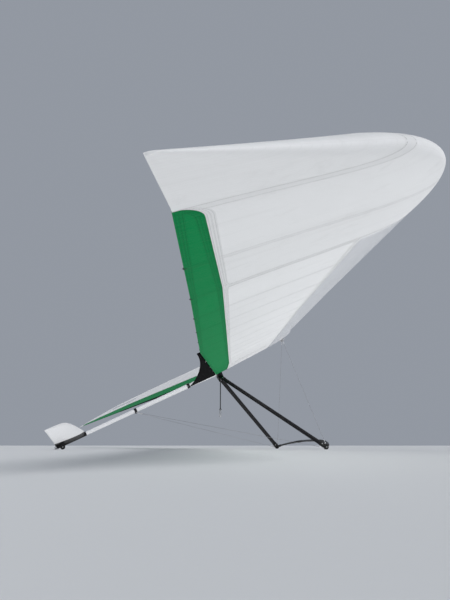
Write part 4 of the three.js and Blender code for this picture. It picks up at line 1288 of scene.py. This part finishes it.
def lacquered_carbon(name):
    """Woven carbon under lacquer: a two-by-two twill of tows with painted sheen, the tows that lie over one
    way painted lighter than the others and each tow's middle pulled to a middle tone, a clear coat, fine
    scratches and dust."""
    net = Net(name)
    along, across = (place / bpy.context.scene.glider_cloth.tow for place in net.cloth())
    over = ((along.floor() + across.floor()) % 4.0).below(1.5)
    tows = ridges(across, math.pi) * over + ridges(along, math.pi) * (1.0 - over)
    dust = net.cloud(11.0, 6.0, 0.7).ramp(0.52, 0.85)
    scratches = net.cloud(24.0, 3.0, 0.6, (2, 40, 2)).ramp(0.66, 0.74)
    # Painted sheen: the tows that lie over one way are painted lighter than the others, and the middle of
    # each tow is pulled towards a middle tone.
    body = net.layers(
        over, (0.004, 0.004, 0.005), (0.013, 0.013, 0.015),
        (tows * 0.4, (0.008, 0.008, 0.009)),
        (dust * 0.12, (0.06, 0.056, 0.05)),
        (scratches * 0.15, (0.05, 0.05, 0.052)),
    )
    relief = net.relief((tows, 0.00012, 0.6))
    rough = 0.34 + dust * 0.2 + scratches * 0.15
    return net.finish(body, rough, relief, Coat_Weight=0.25, Coat_Roughness=0.10, Specular_IOR_Level=0.08)


def moulded_rubber(name):
    """Moulded rubber: fine grain, dusty scuffs where it meets the ground, and a matt face."""
    net = Net(name)
    blotch = net.cloud(24.0, 5.0, 0.6)
    height = net.node("ShaderNodeSeparateXYZ", {}, {0: net.spot()}, 2)
    ground = (1.0 - height.ramp(0.004, 0.05)) * blotch.ramp(0.35, 0.65)
    body = net.layers(
        blotch, (0.008, 0.008, 0.008), (0.015, 0.015, 0.0145), (ground * 0.22, (0.10, 0.093, 0.08))
    )
    relief = net.relief((net.cloud(420.0, 2.0), 0.0002, 0.5))
    return net.finish(body, 0.68 + blotch * 0.2, relief, Specular_IOR_Level=0.35)


def brushed_steel(name):
    """Brushed stainless steel: streaks along the piece, worn bright and dull by turns."""
    net = Net(name)
    along, across = net.cloth()
    streaks = net.smear(along * 25.0, across * 2400.0, 1.0)
    blotch = net.cloud(60.0, 4.0)
    body = net.layers(
        blotch, (0.42, 0.42, 0.43), (0.62, 0.62, 0.63), (streaks * 0.3, (0.34, 0.34, 0.35))
    )
    relief = net.relief((streaks, 0.00004, 0.5))
    return net.finish(body, 0.24 + streaks * 0.14 + blotch * 0.08, relief, Metallic=1.0)


def stranded_wire(name):
    """Stranded wire in a clear sleeve: strands lie on a slant, as sin of along / lay + around / turn."""
    net = Net(name)
    along, across = net.cloth()
    strands = (along * 420.0 + across * 3000.0).sin()
    tone = net.cloud(35.0)
    body = net.layers(tone, (0.20, 0.20, 0.21), (0.34, 0.34, 0.35))
    relief = net.relief((strands * 0.5 + 0.5, 0.00015, 0.25))
    return net.finish(body, 0.5 + tone * 0.12, relief, Metallic=0.6)


def woven_strap(name):
    """Woven strap: crosswise ribs and diagonal threads, with painted highlights on the thread crowns and
    painted shade between them, a little frayed and worn.
    """
    net = Net(name)
    along, across = net.cloth()
    ribs, threads = ridges(along, math.pi / 0.0016), ridges(along + across, math.pi / 0.0011)
    fluff = net.cloud(700.0)
    worn = net.cloud(40.0, 4.0).ramp(0.5, 0.8)
    # Painted highlight and shade: the crowns of the diagonal threads are painted lighter and the hollows
    # between them darker.
    body = net.layers(
        threads, (0.008, 0.008, 0.009), (0.022, 0.022, 0.024), (worn * 0.35, (0.06, 0.06, 0.062))
    )
    relief = net.relief((ribs * 0.7 + threads * 0.3 + fluff * 0.3, 0.0005, 0.8))
    return net.finish(body, 0.8 + fluff * 0.15, relief, Sheen_Weight=0.25, Sheen_Roughness=0.4)


def foam_grip(name):
    """Foam grip: a diamond pattern of shallow grooves, matt and a little shiny where hands hold it."""
    net = Net(name)
    along, across = net.cloth()
    slant, counter = (ridges(place, math.pi / 0.006) for place in (along + across, along - across))
    handled = net.cloud(16.0, 4.0)
    body = net.layers(handled, (0.010, 0.010, 0.011), (0.024, 0.024, 0.025))
    relief = net.relief((slant.at_most(counter).ramp(0.0, 0.4), 0.0008, 0.8))
    return net.finish(body, 0.9 - handled * 0.3, relief, Specular_IOR_Level=0.35)


def floor_paint(name):
    """Pale studio floor with slow changes of tone and a fine grain."""
    net = Net(name)
    grain = net.cloud(90.0)
    colour = net.layers(net.cloud(0.35, 5.0), (0.56, 0.57, 0.58), (0.60, 0.61, 0.62))
    return net.finish(colour, 0.75 + grain * 0.1, net.relief((grain, 0.0003, 0.3)))


# For each finish: the record's material slot, the function that makes it, and what that is given
FINISHES = {
    "white_cloth": ("white_sail", sailcloth, "sail", 0.10, 0.34),
    "green_cloth": ("green_sail", sailcloth, "band", 0.02, 0.02),
    "black_cloth": ("black_sail", sailcloth, "flap", 0.01, 0.0),
    "gloss_shell": ("white_shell", gloss_shell),
    "lacquered_carbon": ("black_carbon", lacquered_carbon),
    "moulded_rubber": ("black_rubber", moulded_rubber),
    "foam_grip": ("black_rubber", foam_grip),
    "brushed_steel": ("steel", brushed_steel),
    "stranded_wire": ("steel", stranded_wire),
    "woven_strap": ("webbing", woven_strap),
}


# Settings


class GliderColours(bpy.types.PropertyGroup):
    """Colours of the coverings."""

    sail: FloatVectorProperty(
        name="Sail", description="Wing cloth", subtype="COLOR", min=0, max=1, default=(0.80, 0.80, 0.80)
    )
    band: FloatVectorProperty(
        name="Band", description="Cloth band along the rear edge", subtype="COLOR", min=0, max=1,
        default=(0.0, 0.225, 0.064),
    )
    flap: FloatVectorProperty(
        name="Flap", description="Flap cloth", subtype="COLOR", min=0, max=1, default=(0.004, 0.004, 0.0045)
    )
    shell: FloatVectorProperty(
        name="Shell", description="Painted composite", subtype="COLOR", min=0, max=1,
        default=(0.76, 0.76, 0.77),
    )


class GliderCloth(bpy.types.PropertyGroup):
    """Sizes of the cloth and its ribs."""

    rib_pitch: FloatProperty(
        name="Rib pitch", description="Distance between wing ribs", unit="LENGTH", min=0.1, default=0.4
    )
    rib_sag: FloatProperty(
        name="Sag", description="How far the cloth sinks between ribs", unit="LENGTH", min=0, max=0.01,
        default=0.0045,
    )
    thread: FloatProperty(
        name="Thread", description="Width of a sail's thread", unit="LENGTH", min=0.0002, default=0.0012
    )
    ripstop: FloatProperty(
        name="Ripstop", description="Distance between stronger threads", unit="LENGTH", min=0.002,
        default=0.010,
    )
    tow: FloatProperty(
        name="Tow", description="Width of a carbon tow", unit="LENGTH", min=0.0005, default=0.0025
    )


class GliderFittings(bpy.types.PropertyGroup):
    """Sizes of the fittings."""

    bolt: FloatProperty(
        name="Bolt", description="Half width of a bolt's head", unit="LENGTH", min=0.002, max=0.01,
        default=0.0055,
    )
    grip: FloatProperty(
        name="Grip", description="Share of the base bar's curve that each grip covers", subtype="FACTOR",
        min=0.04, max=0.3, default=0.12,
    )
    stitch: FloatProperty(
        name="Stitch", description="Length of a strap's stitch and gap", unit="LENGTH", min=0.003,
        default=0.006,
    )


class GliderStage(bpy.types.PropertyGroup):
    """The studio round the glider."""

    floor_radius: FloatProperty(
        name="Floor", description="Radius of the floor", unit="LENGTH", min=10, default=400.0
    )
    sky: FloatVectorProperty(
        name="Sky", description="Light from all round", subtype="COLOR", min=0, max=1,
        default=(0.29, 0.315, 0.36),
    )
    camera_place: FloatVectorProperty(
        name="Camera", description="Where the camera stands", subtype="TRANSLATION", unit="LENGTH",
        default=(-1.56, -6.9, 0.05),
    )
    camera_yaw: FloatProperty(
        name="Yaw", description="Turn of the camera from +Y towards +X", subtype="ANGLE",
        default=math.radians(16.8),
    )
    camera_tilt: FloatProperty(
        name="Tilt", description="How far the camera looks up", subtype="ANGLE", default=math.radians(17.0)
    )
    focal_pixels: FloatProperty(
        name="Focal length", description="Focal length in pixels of the photograph", min=50, default=476.0
    )


# Operators


class GLIDER_OT_nose(bpy.types.Operator):
    """Nose cone and the two rigid leading edges."""

    bl_idname = "glider.nose"
    bl_label = "Nose and leading edges"

    def execute(self, context):
        piece("nose_cover", [nose_cone()], "gloss_shell", ["nose_cone"])
        both("front_shell", [leading_edge()], "gloss_shell", "leading_edge")
        return {"FINISHED"}


class GLIDER_OT_sails(bpy.types.Operator):
    """Sail panels, green bands, wing tips, centre tapes and rib ends."""

    bl_idname = "glider.sails"
    bl_label = "Sails"

    def execute(self, context):
        pitch, depth = context.scene.glider_cloth.rib_pitch, context.scene.glider_cloth.rib_sag
        both("sail", [sail_panel(pitch, depth)], "white_cloth", "wing_panel")
        both("green_band", [rear_band(pitch)], "green_cloth", "rear_band")
        both("tip_cover", [wing_tip(pitch, depth)], "white_cloth", "wing_tip")
        ends = [form for y in np.arange(*RIB_ENDS, pitch) for form in batten_end(y)]
        both("rib_ends", ends, "moulded_rubber")
        tape, slider = zip_fastener(ZIP_PLACE, ZIP_FRONT, ZIP_REAR)
        both("zip", tape, "white_cloth")
        both("zip_slider", slider, "brushed_steel")
        both("spar_screws", spar_screws(1, pitch) + spar_screws(-1, pitch), "brushed_steel")
        piece("centre_tapes", [centre_tape(1), centre_tape(-1)], "white_cloth")
        return {"FINISHED"}


class GLIDER_OT_flaps(bpy.types.Operator):
    """Flaps with their hinges and seals, and the spoileron plates."""

    bl_idname = "glider.flaps"
    bl_label = "Flaps and spoilerons"

    def execute(self, context):
        hinges = [form for y in KNUCKLES for form in flap_hinge(y)]
        both("flap_cover", [flap(context.scene.glider_cloth.rib_pitch)], "black_cloth", "flap", "{}_flap")
        both("flap_seal", [hinge_seal()], "black_cloth")
        both("flap_hinges", hinges, "brushed_steel")
        both("spoileron_plate", [spoileron_plate()], "gloss_shell", "spoileron", "{}_spoileron")
        return {"FINISHED"}


class GLIDER_OT_apex(bpy.types.Operator):
    """Keel bracket with its sockets and the hang pin."""

    bl_idname = "glider.apex"
    bl_label = "Apex bracket"

    def execute(self, context):
        size = context.scene.glider_fittings.bolt
        bracket = [apex_block(), *apex_sockets(), *hang_bracket()]
        piece("keel_bracket", bracket, "lacquered_carbon", ["apex_bracket"])
        bolts = bolt_pair(APEX + DOWN * 0.040, TUBE_SIDE, TUBE_BOLT_REACH, size)
        both("socket_bolts", bolts, "brushed_steel")
        pin = turned(PIN, LEFT, both_ways([(PIN_HALF, 0), (PIN_HALF, 0.006)]))
        piece("hang_pin", [pin, *bolt_pair(PIN, LEFT, PIN_HALF - 0.001, size)], "brushed_steel")
        return {"FINISHED"}


class GLIDER_OT_control_frame(bpy.types.Operator):
    """Downtubes, base bar with its grips, and the corner fittings with pads and pins."""

    bl_idname = "glider.control_frame"
    bl_label = "Control frame"

    def execute(self, context):
        sizes = context.scene.glider_fittings
        both("control_tube", [downtube()], "lacquered_carbon", "downtube")
        elbow = [*corner_fitting(), ground_pad(CORNER, CORNER_PAD_WIDTH)]
        both("corner_elbow", elbow, "moulded_rubber", "corner_fitting")
        pins = bolt_pair(CORNER - DOWN * 0.066, TUBE_SIDE, TUBE_BOLT_REACH, sizes.bolt)
        pins += bolt_pair(CORNER, LEFT, CORNER_PAD_WIDTH / 2 - 0.002, sizes.bolt)
        both("corner_pins", pins, "brushed_steel")
        piece("control_bar", [base_bar()], "lacquered_carbon", ["base_bar"])
        half = sizes.grip / 2
        piece("bar_grips", [bar_grip(at - half, at + half) for at in (0.30, 0.70)], "foam_grip")
        return {"FINISHED"}


class GLIDER_OT_boom(bpy.types.Operator):
    """Keel fairing, collar and tail boom."""

    bl_idname = "glider.boom"
    bl_label = "Boom"

    def execute(self, context):
        size = context.scene.glider_fittings.bolt
        piece("keel_body", [keel_fairing()], "gloss_shell", ["keel_fairing"])
        piece("boom_ring", [boom_ring()], "lacquered_carbon", ["boom_collar"])
        heads = [
            form
            for x in (COLLAR_X + 0.012, COLLAR_X - 0.012)
            for way in (LEFT, -LEFT, UP)
            for form in bolt(on_boom(x) + way * (COLLAR_RADIUS - 0.0008), way, size * 0.75)
        ]
        piece("ring_bolts", heads, "brushed_steel")
        piece("boom_tube", [tail_boom()], "gloss_shell", ["tail_boom"])
        return {"FINISHED"}


class GLIDER_OT_tail(bpy.types.Operator):
    """Tail fins, their saddle and the skid."""

    bl_idname = "glider.tail"
    bl_label = "Tail"

    def execute(self, context):
        size = context.scene.glider_fittings.bolt
        both("fin", [tail_fin()], "gloss_shell", "tail_fin")
        piece("fin_saddle", saddle(), "lacquered_carbon", ["tail_saddle"])
        skid = [skid_neck(), ground_pad(SKID, SKID_PAD_WIDTH)]
        piece("skid_pad", skid, "moulded_rubber", ["tail_skid"])
        heads = bolt_pair(SKID, LEFT, SKID_PAD_WIDTH / 2 - 0.0015, size)
        for x in (FIN_ROOT_FRONT - 0.005, FIN_ROOT_REAR + 0.035):
            heads += bolt(on_boom(x) + UP * (boom_radius(x) + 0.0055), UP, size * 0.8)
        piece("tail_bolts", heads, "brushed_steel")
        return {"FINISHED"}


class GLIDER_OT_stays(bpy.types.Operator):
    """Nose bracket, boom clamp, the four main stays and their terminals."""

    bl_idname = "glider.stays"
    bl_label = "Stays"

    def execute(self, context):
        size = context.scene.glider_fittings.bolt
        piece("nose_plate", nose_bracket(size), "brushed_steel", ["nose_bracket"])
        piece("boom_clamp", boom_clamp(), "lacquered_carbon", ["stay_clamp"])
        ends = []
        for name, node, upper, ahead, top_lug, low_lug in STAYS:
            lower = CORNER + FORWARD * ahead
            way = unit(lower - upper)
            wire = stay_wire(upper + way * top_lug * 0.6, lower - way * low_lug * 0.6)
            both(f"{name}_wire", [wire], "stranded_wire", node)
            ends += [terminal(upper, way, top_lug + 0.03)]
            ends += [terminal(lower - way * 0.02, -way, low_lug + 0.01)]
        both("stay_terminals", ends, "brushed_steel")
        return {"FINISHED"}


class GLIDER_OT_hang_loop(bpy.types.Operator):
    """Hang strap with its stitches, and the carabiner."""

    bl_idname = "glider.hang_loop"
    bl_label = "Hang loop"

    def execute(self, context):
        body, gate = carabiner()
        strap = [hang_strap(), *strap_stitches(context.scene.glider_fittings.stitch)]
        for name, forms, finish, nodes in (
            ("strap_band", strap, "woven_strap", ["hang_strap"]),
            ("carabiner_ring", body, "brushed_steel", ["carabiner"]),
            ("carabiner_gate", gate, "brushed_steel", ()),
        ):
            piece(name, forms, finish, nodes, "hang_loop", place=hanging)
        return {"FINISHED"}


class GLIDER_OT_stage(bpy.types.Operator):
    """Pale floor, soft lights and the camera."""

    bl_idname = "glider.stage"
    bl_label = "Stage"

    def execute(self, context):
        stage = context.scene.glider_stage
        floor_piece(stage.floor_radius)
        for lamp in LIGHTS:
            soft_light(*lamp)
        world = bpy.data.worlds.new("studio")
        world.use_nodes = True
        background = world.node_tree.nodes["Background"]
        background.inputs["Color"].default_value = (*stage.sky, 1)
        background.inputs["Strength"].default_value = 1.0
        context.scene.world = world
        context.scene.view_settings.view_transform = "Standard"
        place_camera(stage)
        return {"FINISHED"}


# Columns: name, kind, place, what it is aimed at, size, strength. A sun's size is its angle.
LIGHTS = (
    ("key_light", "SUN", (7.0, -7.0, 10.0), (0.0, 0.0, 0.0), 0.45, 1.9),
    ("back_light", "SUN", (-7.0, 9.0, 6.0), (0.0, 0.0, 0.0), 0.8, 0.7),
    ("under_light", "AREA", (0.0, -1.0, 0.01), (0.0, -1.0, 5.0), 14.0, 250.0),
    ("front_light", "AREA", (5.5, -4.5, 0.01), (5.5, -4.5, 5.0), 3.0, 330.0),
    ("rear_light", "AREA", (-5.0, -6.5, 0.01), (-5.0, -6.5, 5.0), 2.5, 120.0),
)


def soft_light(name, kind, place, aim, size, strength):
    """A light at a place, aimed at a point and unseen by the camera."""
    data = bpy.data.lights.new(name, kind)
    data.energy = strength
    if kind == "SUN":
        data.angle = size
    else:
        data.size = size
    lamp = linked(name, data)
    lamp.location = place
    lamp.rotation_euler = (Vector(aim) - Vector(place)).to_track_quat("-Z", "Y").to_euler()
    lamp.visible_camera = False


def floor_piece(radius, rings=24, sides=64):
    """Round floor: rings at radius * k^2, so that they lie closer together near the glider."""
    flat = on_circle(np.linspace(0, 2 * np.pi, sides, endpoint=False))
    flat = radius * np.linspace(0.02, 1, rings)[:, None, None] ** 2 * flat
    points = np.insert(flat.reshape(-1, 2), 2, 0.0, axis=1)
    r, c = np.arange(rings - 1)[:, None], np.arange(sides)
    corners = ((r, c), (r + 1, c), (r + 1, c + 1), (r, c + 1))
    faces = np.stack([i * sides + j % sides for i, j in corners], -1).reshape(-1, 4)
    mesh = bpy.data.meshes.new("floor")
    mesh.from_pydata(points.tolist(), [], [*faces.tolist(), list(range(sides))])
    mesh.materials.append(floor_paint("floor_paint"))
    floor = linked("floor", mesh)


def place_camera(stage):
    """Level camera that looks along +Y, turned towards +X by the yaw and up by the tilt."""
    data = bpy.data.cameras.new("camera")
    data.sensor_width = 36.0
    data.lens = 36.0 * stage.focal_pixels / max(PHOTO_PIXELS)
    data.clip_end = 500.0
    camera = linked("camera", data)
    camera.location = stage.camera_place
    yaw, tilt = stage.camera_yaw, stage.camera_tilt
    look = Vector((math.cos(tilt) * math.sin(yaw), math.cos(tilt) * math.cos(yaw), math.sin(tilt)))
    camera.rotation_euler = look.to_track_quat("-Z", "Y").to_euler()
    bpy.context.scene.camera = camera


class GLIDER_PT_panel(bpy.types.Panel):
    """Lists the glider's pieces in the sidebar."""

    bl_label = "Glider"
    bl_space_type = "VIEW_3D"
    bl_region_type = "UI"
    bl_category = "Glider"

    def draw(self, context):
        for operator in OPERATORS:
            self.layout.operator(operator.bl_idname)
        for group, _ in GROUPS:
            settings = getattr(context.scene, group)
            for name in settings.__annotations__:
                self.layout.prop(settings, name)


OPERATORS = (
    GLIDER_OT_stage,
    GLIDER_OT_nose,
    GLIDER_OT_sails,
    GLIDER_OT_flaps,
    GLIDER_OT_apex,
    GLIDER_OT_control_frame,
    GLIDER_OT_boom,
    GLIDER_OT_tail,
    GLIDER_OT_stays,
    GLIDER_OT_hang_loop,
)
GROUPS = (
    ("glider_colours", GliderColours),
    ("glider_cloth", GliderCloth),
    ("glider_fittings", GliderFittings),
    ("glider_stage", GliderStage),
)


def register():
    """Registers settings, operators and the panel."""
    for name, group in GROUPS:
        bpy.utils.register_class(group)
        setattr(bpy.types.Scene, name, PointerProperty(type=group))
    for operator in (*OPERATORS, GLIDER_PT_panel):
        bpy.utils.register_class(operator)


def unregister():
    """Takes them out again."""
    for operator in (GLIDER_PT_panel, *reversed(OPERATORS)):
        bpy.utils.unregister_class(operator)
    for name, group in reversed(GROUPS):
        delattr(bpy.types.Scene, name)
        bpy.utils.unregister_class(group)


def main():
    """Builds every piece in order."""
    register()
    for operator in OPERATORS:
        family, call = operator.bl_idname.split(".")
        getattr(getattr(bpy.ops, family), call)()


if __name__ == "__main__":
    main()
